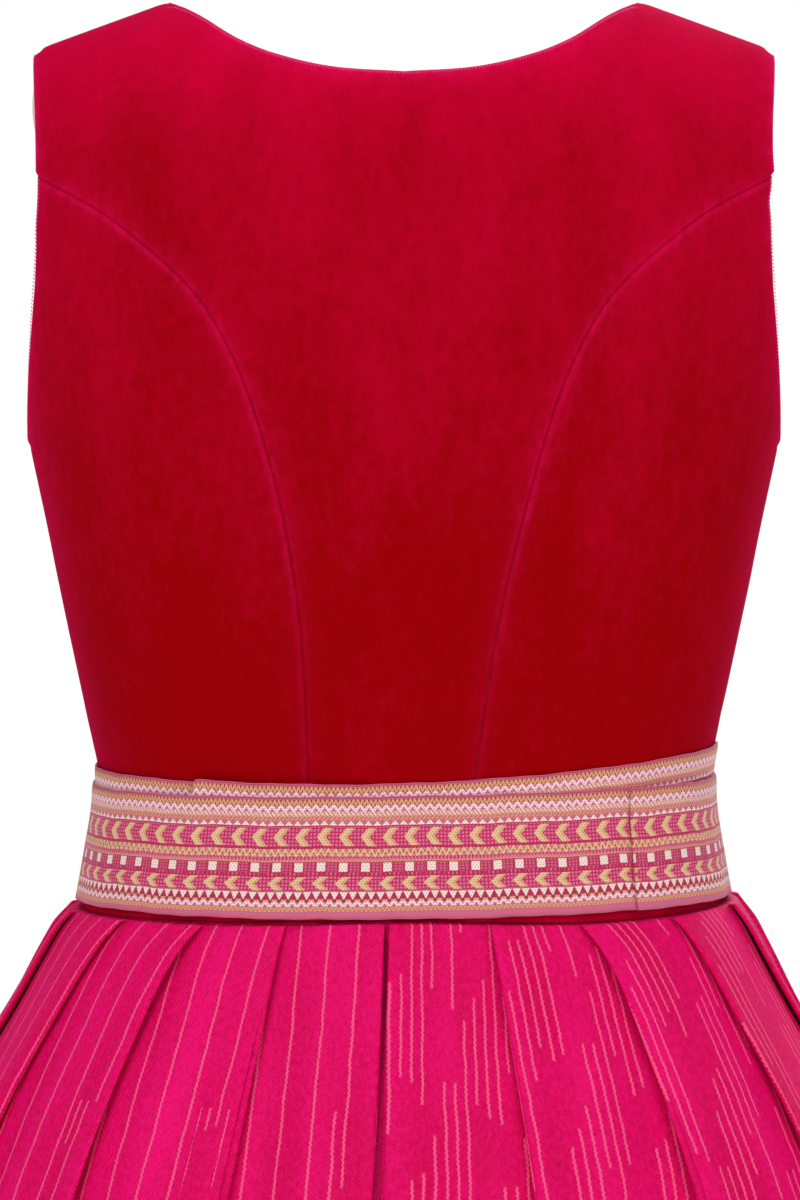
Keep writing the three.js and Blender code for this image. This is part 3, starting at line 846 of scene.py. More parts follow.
def waist_seam(x, face):
    """Height of the waist seam, which rides up a little at the centre back and at the right side."""
    rise = CENTRE_RISE * hump(x, 0, CENTRE_RISE_SPAN)
    tilt = SIDE_TILT * np.clip((x - SIDE_TILT_FROM) / SIDE_TILT_OVER, 0, 1) ** 2
    return WAIST_SEAM + tilt + (rise if face == BACK else 0 * rise)


def skin(x, z, face):
    """The bodice's outer face over a point of the front or back."""
    share = np.clip(np.abs(x) / figure_half(z), 0, 1)
    oval = (1 - share**ROUNDNESS) ** (1 / ROUNDNESS)
    below = np.clip((ridge(x) - z) / SHOULDER_ROLL, 0, 1)
    roll = np.sqrt(1 - (1 - below) ** 2)
    away = ((np.abs(x) - BUST["x"]) ** 2 + (z - BUST["z"]) ** 2) / BUST["spread"] ** 2
    swell = BUST["swell"] * np.exp(-away)
    depth = figure_back(z) if face == BACK else figure_front(z) + swell
    return np.stack([x, face * depth * oval * roll, z], axis=-1)


def angle_of(x, z):
    """Angle from the side seam of a point at x on the oval at height z."""
    return np.arccos(np.clip(x / figure_half(z), 0, 1) ** (ROUNDNESS / 2))


def half_at(angle, z):
    """The x of a point at an angle from the side seam, on the oval at height z."""
    return figure_half(z) * np.clip(np.cos(angle), 0, 1) ** (2 / ROUNDNESS)


print("shoulder tips lie at", round(float(ridge(TIP_HALF)), 1), "mm")

# %% [markdown]
# ## Seams and edges
#
# Where two panels are sewn the pile parts: a thin dark furrow with a soft ridge on each side, made
# by the seam allowances under it. An open edge is turned in and rolls over. Both depend only on
# how far a point lies from the border, so one helper measures that for any panel.

# %% Distance from a border, and the way outwards
def mix(a, b, share):
    return a + (b - a) * share


def length_of(vectors):
    return np.sqrt((vectors**2).sum(axis=-1))


def unit(vectors):
    return vectors / np.maximum(length_of(vectors), 1e-9)[..., None]


BORDER_STEP = 0.004
NORMAL_STEP = 0.002
BORDERS = {
    "first": lambda u, v: (0 * u, v, 0.0, 1.0),
    "last": lambda u, v: (0 * u + 1, v, 0.0, 1.0),
    "bottom": lambda u, v: (u, 0 * v, 1.0, 0.0),
    "top": lambda u, v: (u, 0 * v + 1, 1.0, 0.0),
}


def slope_along(rule, u, v, step_u, step_v):
    """How a rule's points move over a short step, which never leaves the panel."""
    ahead = rule(np.clip(u + step_u, 0, 1), np.clip(v + step_v, 0, 1))
    return ahead - rule(np.clip(u - step_u, 0, 1), np.clip(v - step_v, 0, 1))


def from_border(rule, u, v, border):
    """Distance of each point from the line of a panel's border, in millimetres."""
    edge_u, edge_v, way_u, way_v = BORDERS[border](u, v)
    line = unit(slope_along(rule, edge_u, edge_v, BORDER_STEP * way_u, BORDER_STEP * way_v))
    offset = rule(u, v) - rule(edge_u, edge_v)
    along = (offset * line).sum(axis=-1)
    return length_of(offset - line * along[..., None])


def outward(rule, u, v):
    """The outward normal of a rule's surface."""
    side = slope_along(rule, u, v, NORMAL_STEP, 0)
    return unit(np.cross(side, slope_along(rule, u, v, 0, NORMAL_STEP)))


# %% Furrow, roll and finished borders
FURROW_DEPTH = 0.45
FURROW_WIDTH = 0.6
RIDGE_HEIGHT = 0.24
RIDGE_PLACE = 2.8
RIDGE_WIDTH = 1.6
ROLL_RADIUS = 1.7
ROLL_SWELL = 0.55
SWELL_PLACE = 2.1
STITCH_DIP = 0.15
DIP_PLACE = 4.2
SWELL_WIDTH = 1.2


def furrow(distance):
    """Height of the cloth near a seam: a dip with a ridge beside it."""
    dip = -FURROW_DEPTH * hump(distance, 0, FURROW_WIDTH)
    return dip + RIDGE_HEIGHT * hump(distance, RIDGE_PLACE, RIDGE_WIDTH)


def roll_over(distance):
    """Height of the cloth near an open edge: it swells, and then turns in."""
    inside = np.clip(distance / ROLL_RADIUS, 0, 1)
    turn = -ROLL_RADIUS * (1 - np.sqrt(1 - (1 - inside) ** 2))
    swell = ROLL_SWELL * hump(distance, SWELL_PLACE, SWELL_WIDTH)
    return turn + swell - STITCH_DIP * hump(distance, DIP_PLACE, SWELL_WIDTH)


def shaped(rule, borders, folds=None):
    """The rule with its borders finished. borders gives each border's share of roll, from 0 to 1."""

    def finished(u, v):
        heights = []
        for border, roll_share in borders.items():
            distance = from_border(rule, u, v, border)
            rolled = roll_share(u, v)
            heights.append(rolled * roll_over(distance) + (1 - rolled) * furrow(distance))
        lowest, highest = np.min(heights, axis=0), np.max(heights, axis=0)
        lift = np.where(lowest < -0.02, lowest, highest)
        points = rule(u, v)
        if folds is not None:
            lift = lift + folds(points)
        return points + outward(rule, u, v) * lift[..., None]

    return finished


def edge_sheen_highlight(rule, borders, beside_seam):
    """Strength of the painted sheen highlight, from 0 to 1: on rolled edges, and in a line beside a
    seam.
    """

    def painted_sheen(u, v):
        most = 0 * u
        for border, roll_share in borders.items():
            distance = from_border(rule, u, v, border)
            line = beside_seam * hump(distance, 1.4, 0.9)
            haze = 0.1 * hump(distance, 0, 6.0)
            on_edge = 0.75 * hump(distance, 0, 2.6) + 0.2 * hump(distance, 0, 8.0)
            rolled = roll_share(u, v)
            most = np.maximum(most, mix(line + haze, on_edge, rolled))
        return most

    return painted_sheen


print("furrows are", FURROW_DEPTH, "mm deep")

# %% [markdown]
# ## Creases pressed one by one
#
# Velvet drawn over a form pulls slightly towards its seams. Each crease is one row of a table: where
# it lies, which way it runs, how long and wide it is, and how high it stands. Uneven rows look
# more like cloth than an even pattern does.

# %% Crease tables
def crease_field(rows, face_sign):
    """The sum of a table's creases over points of one face."""

    def field(points):
        total = np.zeros(len(points))
        on_face = (points[:, 1] * face_sign > -5).astype(float)
        for row in rows:
            turn = math.radians(row["turn"])
            dx = points[:, 0] - row["x"]
            dz = points[:, 2] - row["z"]
            along = dx * math.cos(turn) + dz * math.sin(turn)
            across = dz * math.cos(turn) - dx * math.sin(turn)
            bow = across - row["bow"] * (along / row["long"]) ** 2
            fade = hump(along, 0, row["long"]) * hump(bow, 0, row["wide"])
            total = total + row["high"] * fade
        return total * on_face

    return field


BACK_CREASES = table(
    "x z turn long wide bow high",
    (152, -80, 62, 16, 4.0, 2, 1.1),
    (147, -92, 35, 14, 3.2, 1, -0.9),
    (-148, -105, -50, 18, 4.5, 2, 0.7),
    (96, -322, 6, 26, 7.0, 3, 0.7),
    (112, -300, -8, 22, 6.0, -2, -0.6),
    (-98, -318, -7, 28, 7.0, 3, 0.7),
    (-70, -296, 9, 20, 6.0, -2, -0.5),
    (12, -322, 3, 30, 8.0, 2, 0.5),
    (-52, -140, 70, 30, 10, 0, 0.6),
    (60, -150, -68, 34, 11, 0, 0.6),
    (0, -180, 90, 60, 16, 0, -0.5),
    (-118, -205, 60, 30, 9, 2, 0.6),
    (124, -222, -58, 28, 9, 2, 0.6),
)
FRONT_CREASES = table(
    "x z turn long wide bow high",
    (132, -190, -40, 22, 5.0, 2, 0.8),
    (-134, -186, 42, 20, 5.0, 2, 0.8),
    (60, -300, 10, 26, 7.0, 3, 0.6),
    (-64, -306, -12, 28, 7.0, 3, 0.6),
    (30, -250, 60, 24, 9.0, 0, -0.5),
    (-28, -262, -62, 26, 9.0, 0, -0.5),
    (120, -60, 75, 20, 6.0, 1, 0.7),
    (-122, -66, -74, 22, 6.0, 1, 0.7),
)
back_folds = crease_field(BACK_CREASES, BACK)
front_folds = crease_field(FRONT_CREASES, FRONT)
print(len(BACK_CREASES), "creases behind and", len(FRONT_CREASES), "in front")

# %% [markdown]
# ## The back panel
#
# The centre back is one panel from the waist to both shoulders, between the two princess seams
# that curve out to the armholes. Its rows run level, up to the corner where seam and armhole meet,
# and from there they close up towards the neckline and the shoulder seams.

# %% Back panel's seams and neckline
BACK_SEAM = table(
    "z x",
    (-76, 155.5),
    (-91, 127.3),
    (-102, 112.3),
    (-117, 94.7),
    (-133, 81),
    (-162, 66.4),
    (-198, 54.9),
    (-244, 44.3),
    (-285, 38.5),
    (-390, 29.5),
)
FRONT_SEAM = table(
    "z x",
    (-105, 156),
    (-118, 143),
    (-140, 125),
    (-165, 108),
    (-190, 96),
    (-220, 86),
    (-260, 74),
    (-300, 63),
    (-340, 55),
    (-390, 52),
)
ARMHOLE = table(
    "z x",
    (-25.54, 158.6),
    (-36, 157.6),
    (-54, 156.2),
    (-76, 155.5),
    (-105, 156),
    (-140, 158),
    (-165, 159.5),
    (-187, 161),
)
BACK_NECK = table(
    "x z",
    (0, -33.4),
    (30, -31),
    (54, -25),
    (70, -18),
    (85, -8.2),
    (93, -3.7),
    (98, -NECK_ROUND),
)
back_seam = smooth(BACK_SEAM, "z", "x")
front_seam = smooth(FRONT_SEAM, "z", "x")
armhole = smooth(ARMHOLE, "z", "x")
back_neck = smooth(BACK_NECK, "x", "z")
print("the back panel is", 2 * BACK_SEAM[-1]["x"], "mm wide at the waist")

# %% Rule of the back panel
CORNER_SHARE = 0.72
PANEL_PULL = 0.6
LEAN_MOST = 5.4
LEAN_FROM = -205.0
LEAN_OVER = 125.0


def seam_lean(z):
    """Both back princess seams lean a little to the left in their lower part."""
    return -LEAN_MOST * np.clip((LEAN_FROM - z) / LEAN_OVER, 0, 1) ** 1.3


def split_rows(v):
    """Shares of the way up to the panel's corner, and from there to its top."""
    low = np.clip(v / CORNER_SHARE, 0, 1)
    high = np.clip((v - CORNER_SHARE) / (1 - CORNER_SHARE), 0, 1)
    return low, 1 - (1 - high) ** 2.4


def back_panel(u, v):
    across = crowd(u, PANEL_PULL) * 2 - 1
    low, high = split_rows(v)
    x = across * back_seam(mix(waist_seam(0 * u, BACK), BACK_CORNER, low))
    level = mix(waist_seam(x, BACK), BACK_CORNER, low)
    x_low = across * back_seam(level) + seam_lean(level)
    z_low = mix(waist_seam(x_low, BACK), BACK_CORNER, low)
    place = np.abs(across) * TIP_HALF
    edge = np.where(place > NECK_HALF, ridge(place), back_neck(place))
    z_high = mix(BACK_CORNER, edge, high)
    x_high = across * armhole(z_high)
    above = v > CORNER_SHARE
    return skin(np.where(above, x_high, x_low), np.where(above, z_high, z_low), BACK)


def above_corner(u, v):
    """1 where a side border runs along the armhole, and 0 where it is a seam."""
    return np.clip((v - CORNER_SHARE) / 0.004, 0, 1)


def back_neckline(u, v):
    """1 where the top border is the neckline, and 0 where it is a shoulder seam."""
    across = np.abs(crowd(u, PANEL_PULL) * 2 - 1) * TIP_HALF
    return np.clip((NECK_HALF + 1 - across) / 4, 0, 1)


# %% Velvet panels, and the back one
def no_roll(u, v):
    return 0 * u


def all_roll(u, v):
    return 0 * u + 1


def flat_spot(rule):
    """Cloth coordinates that follow the figure's width and height."""

    def spots(u, v):
        points = rule(u, v)
        return np.stack([points[:, 0], points[:, 2]], axis=-1)

    return spots


VELVET_WALL = 0.0016
pieces = {}


def velvet_panel(node, grid, rule, borders, folds, beside_seam):
    """A panel of the bodice: velvet outside, lining inside. Gives its finished rule back."""
    form = shaped(rule, borders, folds)
    painted_sheen = edge_sheen_highlight(rule, borders, beside_seam)
    name = "velvet_" + node
    sheet = cloth_sheet(name, *grid, form, flat_spot(rule), velvet, lining, painted_sheen)
    pieces[node] = thicken(sheet, VELVET_WALL)
    print(node, "area", round(sheet_area(pieces[node]), 4), "m2")
    return form


# Strength of the painted sheen highlight in a line beside the seams of each panel.
BACK_LIGHT = 0.14
BACK_SIDE_LIGHT = 0.28
FRONT_LIGHT = 0.12
BACK_GRID = (150, 170)
BACK_BORDERS = {"first": above_corner, "last": above_corner, "top": back_neckline, "bottom": no_roll}
back_shape = velvet_panel("back_centre", BACK_GRID, back_panel, BACK_BORDERS, back_folds, BACK_LIGHT)

# %% [markdown]
# ## Side panels
#
# Four side panels fill the space between the princess seams and the side seams, under the arms.
# Each is blended from its four edges, so its rows tilt from the waist to the curve of the armhole.

# %% Side panels
ROW_PULL = 0.45
SIDE_GRID = (72, 120)


def side_panel(face, side):
    corner = BACK_CORNER if face == BACK else FRONT_CORNER
    seam = back_seam if face == BACK else front_seam

    def princess(share):
        start = waist_seam(side * seam(WAIST_SEAM + 0 * share), face)
        z = mix(start, corner, share)
        lean = side * seam_lean(z) if face == BACK else 0
        return angle_of(seam(z) + lean, z), z

    def waist(across):
        angle = princess(0 * across)[0] * across
        return angle, waist_seam(side * half_at(angle, WAIST_SEAM + 0 * across), face)

    def arm(across):
        z = mix(UNDERARM, corner, across**1.5)
        return angle_of(armhole(z), z), z

    def rule(u, v):
        across = crowd(1 - u if side * face < 0 else u, PANEL_PULL)
        share = crowd(v, ROW_PULL)
        blended = []
        for key in (0, 1):
            outer = (0 * share, mix(waist(0 * share)[1], UNDERARM, share))[key]
            sides = mix(outer, princess(share)[key], across)
            ends = mix(waist(across)[key], arm(across)[key], share)
            low = mix(waist(0 * across)[key], waist(0 * across + 1)[key], across)
            high = mix(arm(0 * across)[key], arm(0 * across + 1)[key], across)
            blended.append(sides + ends - mix(low, high, share))
        angle, z = blended
        return skin(side * half_at(angle, z), z, face)

    return rule


SIDE_BORDERS = {"first": no_roll, "last": no_roll, "top": all_roll, "bottom": no_roll}
side_forms = {}
for node, face, side in (
    ("back_side_left", BACK, -1),
    ("back_side_right", BACK, 1),
    ("front_side_left", FRONT, -1),
    ("front_side_right", FRONT, 1),
):
    rule = side_panel(face, side)
    folds, light = (back_folds, BACK_SIDE_LIGHT) if face == BACK else (front_folds, FRONT_LIGHT)
    side_forms[node] = velvet_panel(node, SIDE_GRID, rule, SIDE_BORDERS, folds, light)

# %% [markdown]
# ## Front panels
#
# The front is plain: two panels that meet edge to edge at the centre, with a scooped neckline.
# The rows end on the centre front as far up as the neckline, then on the neckline itself.

# %% Front panels
SCOOP_START = 0.72
SCOOP_TURN = math.pi / 3
FRONT_GRID = (90, 150)


def scoop_z(turn):
    return -SCOOP_DEPTH * np.clip(np.cos(turn), 0, 1) ** (2 / SCOOP_POWER)


def scoop_x(z):
    depth = np.clip(-z / SCOOP_DEPTH, 0, 1)
    return NECK_HALF * (1 - depth**SCOOP_POWER) ** (1 / SCOOP_POWER)


def front_panel(side):
    def rule(u, v):
        across = crowd(1 - u if side > 0 else u, PANEL_PULL)
        low, high = split_rows(v)
        turn = np.clip(SCOOP_TURN * (low - SCOOP_START) / (1 - SCOOP_START), 0, SCOOP_TURN)
        on_seam = low < SCOOP_START
        seam_z = mix(WAIST_SEAM, -SCOOP_DEPTH, np.clip(low / SCOOP_START, 0, 1))
        inner_z = np.where(on_seam, seam_z, scoop_z(turn))
        inner_x = np.where(on_seam, 0, scoop_x(scoop_z(turn)))
        outer_z = mix(WAIST_SEAM, FRONT_CORNER, low)
        outer_x = front_seam(outer_z)
        above = v > CORNER_SHARE
        top_inner_z = mix(scoop_z(SCOOP_TURN), 0, high)
        top_outer_z = mix(FRONT_CORNER, ridge(TIP_HALF), high)
        inner_z = np.where(above, top_inner_z, inner_z)
        inner_x = np.where(above, scoop_x(top_inner_z), inner_x)
        outer_z = np.where(above, top_outer_z, outer_z)
        outer_x = np.where(above, armhole(top_outer_z), outer_x)
        arch = ridge(mix(NECK_HALF, TIP_HALF, across)) - ridge(TIP_HALF) * across
        z = mix(inner_z, outer_z, across) + arch * high
        return skin(side * mix(inner_x, outer_x, across), z, FRONT)

    return rule


def above_scoop(u, v):
    """1 where the inner border is the neckline, and 0 where it is the centre front."""
    return np.clip((v - CORNER_SHARE * SCOOP_START) / 0.02, 0, 1)


front_forms = {}
for node, side in (("front_left", -1), ("front_right", 1)):
    rule = front_panel(side)
    borders = {"top": no_roll, "bottom": no_roll}
    borders["last" if side > 0 else "first"] = above_scoop
    borders["first" if side > 0 else "last"] = above_corner
    front_forms[node] = velvet_panel(node, FRONT_GRID, rule, borders, front_folds, FRONT_LIGHT)

# %% [markdown]
# ## Ovals walked by length
#
# A belt and a skirt are measured round the body, not across it. This helper walks round an oval at
# an even pace, so that a share of the way round is a share of the cloth.

# %% Ovals at every height
OVAL_STEPS = 720
oval_angles = -math.pi / 2 + 2 * math.pi * np.arange(OVAL_STEPS + 1) / OVAL_STEPS


def oval(half, back, front, power):
    """Points of an oval from the centre back towards the wearer's right, and its length."""
    cosine, sine = np.cos(oval_angles), np.sin(oval_angles)
    x = half * np.sign(cosine) * np.abs(cosine) ** (2 / power)
    y = np.where(sine < 0, back, front) * np.sign(sine) * np.abs(sine) ** (2 / power)
    steps = np.hypot(np.diff(x), np.diff(y))
    walked = np.concatenate([[0], np.cumsum(steps)])
    return x, y, walked


def on_oval(ring, place):
    x, y, walked = ring
    target = (place - np.floor(place)) * walked[-1]
    return np.stack([np.interp(target, walked, x), np.interp(target, walked, y)], axis=-1)


def oval_normal(ring, place, stride=0.004):
    along = on_oval(ring, place + stride) - on_oval(ring, place - stride)
    return unit(np.stack([along[..., 1], -along[..., 0]], axis=-1))


def bodice_ring(z):
    """The bodice's oval at height z."""
    return oval(float(figure_half(z)), float(figure_back(z)), float(figure_front(z)), ROUNDNESS)


print("waist is", round(bodice_ring(-340)[2][-1]), "mm round")

# %% [markdown]
# ## The skirt
#
# Two widths of twill are laid in eighteen knife pleats that all look towards the centre back. Under
# the belt each pleat is pressed flat over its neighbour. Lower down it opens, and at the hem it is
# a deep soft wave. One short list of points describes a pleat in both states, and every level
# of the skirt mixes them by how far the pleats have opened there.

# %% Bell and pleat tables
BELL = table(
    "z half back front open",
    (-389.1, 141, 92, 102, 0),
    (-396, 146.5, 96.5, 106, 0.01),
    (-408, 153.5, 104, 113, 0.03),
    (-428, 165, 116, 124, 0.06),
    (-458, 183, 134, 141, 0.1),
    (-500, 204, 157, 163, 0.16),
    (-560, 230, 184, 189, 0.28),
    (-650, 262, 217, 221, 0.46),
    (-770, 295, 251, 255, 0.72),
    (-900, 326, 284, 288, 0.87),
    (-1038, 355, 313, 317, 1),
)
HEM_ROUNDNESS = 2.05
PLEAT_LAYER = 1.8
PLEAT_OVERLAP = 30
PLEAT_SINK = 1.5
HEM_WAVE = 27
CENTRE_SHIFT = -7
SIDE_PLEAT = 3
CENTRE_GAP = 1.2
CENTRE_OPENING = 0.5

PLEATS_RIGHT = table(
    "width wave",
    (41, 1.0),
    (46, 1.12),
    (42, 0.94),
    (43, 1.06),
    (44, 0.9),
    (42, 1.08),
    (45, 1.0),
    (42, 0.93),
    (43, 1.05),
)
PLEATS_LEFT = table(
    "width wave",
    (41, 1.05),
    (44, 0.92),
    (39, 1.1),
    (43, 0.97),
    (42, 1.1),
    (44, 0.9),
    (42, 1.04),
    (43, 1.0),
    (42, 0.95),
)
FACE = table(
    "span press layer along rise",
    (0, 0.6, 3.5, 0.06, 0.98),
    (0.5, 0, 2.6, 0.28, 0.62),
    (1, 0, 1.5, 0.47, 0.2),
)
FOLD = table(
    "press layer along rise",
    (PLEAT_OVERLAP - 3, 0, -0.42, 0),
    (PLEAT_OVERLAP, 0.5, -0.3, 0.06),
    (PLEAT_OVERLAP - 4, 1, -0.24, 0.18),
    (0.6, 2.5, -0.12, 0.6),
    (0, 3, -0.03, 0.95),
)
LAST_FACE = table(
    "span press layer along rise",
    (0, 0.6, 3.5, 0.06, 0.98),
    (0.5, 0, 2.6, 0.5, 0.55),
    (1, 0, 1.5, 1, 0.05),
)
bell_half = smooth(BELL, "z", "half")
bell_back = smooth(BELL, "z", "back")
bell_front = smooth(BELL, "z", "front")
bell_open = smooth(BELL, "z", "open")
print(len(PLEATS_LEFT) + len(PLEATS_RIGHT), "pleats")

# %% One half of the skirt at one height
def bell_ring(z):
    """The skirt's oval at height z."""
    power = mix(ROUNDNESS, HEM_ROUNDNESS, float(bell_open(z)))
    return oval(float(bell_half(z)), float(bell_back(z)), float(bell_front(z)), power)


waist_length = bell_ring(BELL[0]["z"])[2][-1]
SKIRT_TOP = BELL[0]["z"]
SKIRT_HEM = BELL[-1]["z"]
FOLD_DRIFT = 8.0
DRIFT_FADE = 18.0
PLEAT_LOFT = 2.2
LOFT_REST = 0.35
LOFT_MIDDLE = 22
LOFT_SPREAD = 24
LOFT_START = 9
LAYER_SETTLE = 0.2
LAYER_SETTLE_OVER = 60
SIDE_SETTLED = 0.1


def fold_edges(pleats, openness):
    """Shares of the half's length at which its pleats begin, and where the last one ends."""
    total = sum(pleat["width"] for pleat in pleats)
    lead = CENTRE_GAP + CENTRE_OPENING * pleats[0]["width"] * openness * openness
    edges = [lead / (total + lead)]
    for pleat in pleats:
        edges.append(edges[-1] + pleat["width"] / (total + lead))
    return edges


def skirt_half(pleats, side, z):
    """Control points of one half at height z. The top row is turned in and lies on the waist seam."""
    turned_in = z > SKIRT_TOP - 0.01
    ring = bodice_ring(WAIST_SEAM) if turned_in else bell_ring(z)
    round_length = ring[2][-1]
    openness = float(bell_open(z))
    length = round_length / 2 - side * CENTRE_SHIFT * (round_length / waist_length)
    edges = [edge * length for edge in fold_edges(pleats, openness)]
    drop = SKIRT_TOP - z
    drift = FOLD_DRIFT * math.exp(-drop / DRIFT_FADE)
    edges = [edge - (drift if k > 1 else 0) for k, edge in enumerate(edges)]
    loft = PLEAT_LOFT * (LOFT_REST + hump(drop, LOFT_MIDDLE, LOFT_SPREAD)) * min(drop / LOFT_START, 1)
    layer_step = PLEAT_LAYER * (1 - LAYER_SETTLE * min(drop / LAYER_SETTLE_OVER, 1))
    steps = []

    def add(along, layer, rise, wave, k):
        settled = SIDE_SETTLED if k in (SIDE_PLEAT, SIDE_PLEAT + 1) else 1.0
        pressed = layer * layer_step - PLEAT_SINK
        opened = (rise - 0.5) * HEM_WAVE * wave
        raised = loft * settled * wave * ((layer - 1.5) / 2)
        outward_by = -1.0 if turned_in else mix(pressed, opened, openness) + raised
        steps.append((along, outward_by))

    def fold(edge, width, wave, k):
        for point in FOLD:
            along = edge + mix(point["press"], point["along"] * width, openness)
            add(along, point["layer"], point["rise"], wave, k)

    add(0, 1.5, 0.02, pleats[0]["wave"], 0)
    fold(edges[0], edges[1] - edges[0], pleats[0]["wave"], 0)
    for k, pleat in enumerate(pleats):
        width = edges[k + 1] - edges[k]
        last = k == len(pleats) - 1
        for point in LAST_FACE if last else FACE:
            start = point["span"] * width + point["press"]
            along = edges[k] + mix(start, point["along"] * width, openness)
            add(along, point["layer"], point["rise"], pleat["wave"], k)
        if not last:
            fold(edges[k + 1], width, pleat["wave"], k + 1)
    walk = np.array(steps)
    place = side * walk[:, 0] / round_length + CENTRE_SHIFT / waist_length
    return on_oval(ring, place) + oval_normal(ring, place) * walk[:, 1:2]


SPLIT = len(FOLD) + SIDE_PLEAT * (len(FACE) + len(FOLD)) + len(FACE)


def skirt_row(which, z):
    """Control points of one width of the skirt at height z, from seam to seam."""
    right = skirt_half(PLEATS_RIGHT, 1, z)
    left = skirt_half(PLEATS_LEFT, -1, z)
    if which == "skirt_back":
        return np.concatenate([left[1 : SPLIT + 1][::-1], right[: SPLIT + 1]])
    return np.concatenate([right[SPLIT:], left[SPLIT:-1][::-1]])


def arcs_of(which):
    """How many soft arcs join the points of a level."""
    return len(skirt_row(which, SKIRT_TOP)) - 2


print("a level of the back has", arcs_of("skirt_back"), "arcs")

# %% [markdown]
# Each level's points are joined by soft arcs that touch the middles of the lines between them, which
# rounds the folds without letting the cloth swing past itself. The stripes are woven parallel to
# the threads, so on each pleat they stay parallel to its fold edge.

# %% Fine rows of the skirt
def soft_arcs(points, share):
    """Points along quadratic arcs through a polyline's middles; share is in 0 to 1."""
    first, last = points[0], points[-1]
    middles = (points[:-1] + points[1:]) / 2
    controls = points[1:-1]
    ends = np.concatenate([middles[1:-1], [last]])
    starts = np.concatenate([[first], middles[1:-1]])
    arcs = len(controls)
    place = np.clip(share * arcs, 0, arcs - 1e-9)
    i = place.astype(int)
    t = (place - i)[:, None]
    return starts[i] * (1 - t) ** 2 + controls[i] * 2 * t * (1 - t) + ends[i] * t**2


def fold_edge_columns(which, arcs):
    """Shares of a row at which the fold edges lie, in order."""
    step = len(FACE) + len(FOLD)
    from_centre = [len(FOLD) + k * step for k in range(len(PLEATS_LEFT))]
    if which == "skirt_back":
        marks = [SPLIT - 1 - mark for mark in from_centre if mark < SPLIT]
        marks += [SPLIT + mark + 1 for mark in from_centre if mark < SPLIT]
    else:
        marks = [mark - SPLIT for mark in from_centre if mark >= SPLIT]
        marks += [arcs + 1 - mark for mark in marks]
    return sorted(mark / arcs for mark in marks)


back_folds_at = fold_edge_columns("skirt_back", arcs_of("skirt_back"))
print("fold edges of the back lie at", [round(share, 2) for share in back_folds_at])

# %% Heights and uneven drift of the skirt's rows
TWILL_WALL = 0.0009
WANDER_PHASE = 0.4
SEAM_SHARE = 0.015
SEAM_LIFT_FADE = 12.0


def skirt_height(v):
    """Height of a row: more rows near the waist, where the pleats are sharp."""
    return mix(SKIRT_TOP, SKIRT_HEM, (1 - v) ** 1.7)


def pleat_wander(share, z):
    """Uneven drift of the cloth out from a level, in millimetres. It dies out at the side seams."""
    drop = (SKIRT_TOP - z) / 100
    out = 0.9 * np.sin(share * 61 + drop * 1.9 + WANDER_PHASE) + 0.8 * np.sin(share * 133 - drop * 1.3)
    small = 0.45 * np.sin(share * 271 + drop * 2.1 + 2 * WANDER_PHASE)
    ripple = 0.55 * np.sin(share * 340 + 1.5 * np.sin(drop * 1.1 + WANDER_PHASE))
    ripple = ripple * np.clip(drop * 2, 0, 1)
    from_seam = np.clip(np.minimum(share, 1 - share) / SEAM_SHARE, 0, 1)
    return (out + small + ripple) * np.clip(drop, 0, 1) * from_seam


def level_line(which, z, share, inwards=0.0):
    """One level of the cloth, with its drift, moved in by some millimetres."""
    line = soft_arcs(skirt_row(which, z), share)
    tangent = np.gradient(line, axis=0)
    normal = unit(np.stack([tangent[:, 1], -tangent[:, 0]], axis=-1))
    return line + normal * (pleat_wander(share, z)[:, None] - inwards)


print("the lowest row lies at", skirt_height(0), "mm")


# %% Build the skirt
def skirt_rules(which, columns, rows):
    """Tables of every grid point, and of its place on the flat cloth, made once."""
    share = np.arange(columns + 1) / columns
    if which == "skirt_front":
        middle = columns // 2
        share[middle], share[middle + 1] = 0.5 - 1e-4, 0.5 + 1e-4
    grid = np.zeros((rows + 1, columns + 1, 3))
    spots = np.zeros((rows + 1, columns + 1, 2))
    for r in range(rows + 1):
        z = float(skirt_height(r / rows))
        line = level_line(which, z, share)
        seam = np.where(line[:, 1] < 0, waist_seam(line[:, 0], BACK), waist_seam(line[:, 0], FRONT))
        near_top = math.exp((z - SKIRT_TOP) / SEAM_LIFT_FADE)
        grid[r, :, :2] = line
        grid[r, :, 2] = z + (seam - WAIST_SEAM) * near_top
        walked = np.concatenate([[0], np.cumsum(length_of(np.diff(line, axis=0)))])
        spots[r] = stripe_spots(which, share, walked, z, arcs_of(which))
        if r in (0, rows // 2, rows):
            print(which, "at", round(z), "is", round(walked[-1]), "mm of cloth")
    return grid, spots


def stripe_spots(which, share, walked, z, arcs):
    """Cloth coordinates that keep the stripes parallel to each pleat's fold edge."""
    marks = np.array(fold_edge_columns(which, arcs)) - 0.5 / arcs
    at_marks = np.interp(marks, share, walked)
    across = np.zeros(len(share))
    last = len(marks) - 1
    for i, place in enumerate(share):
        k = int(np.searchsorted(marks, place)) - 1
        if 0 <= k < last:
            span = at_marks[k + 1] - at_marks[k]
            t = (walked[i] - at_marks[k]) / max(span, 1e-6)
            across[i] = (k + t) * CLOTH_PER_PLEAT
        else:
            nearest = max(k, 0)
            across[i] = nearest * CLOTH_PER_PLEAT + walked[i] - at_marks[nearest]
        if which == "skirt_front" and last // 2 == k:
            nearest = k if place < 0.5 else k + 1
            across[i] = nearest * CLOTH_PER_PLEAT + walked[i] - at_marks[nearest]
    return np.stack([across, np.full(len(share), SKIRT_TOP - z)], axis=-1)


def from_table(grid):
    """A rule that reads its points from a table as large as the grid."""
    rows, columns = grid.shape[0] - 1, grid.shape[1] - 1

    def rule(u, v):
        return grid[np.rint(v * rows).astype(int), np.rint(u * columns).astype(int)]

    return rule


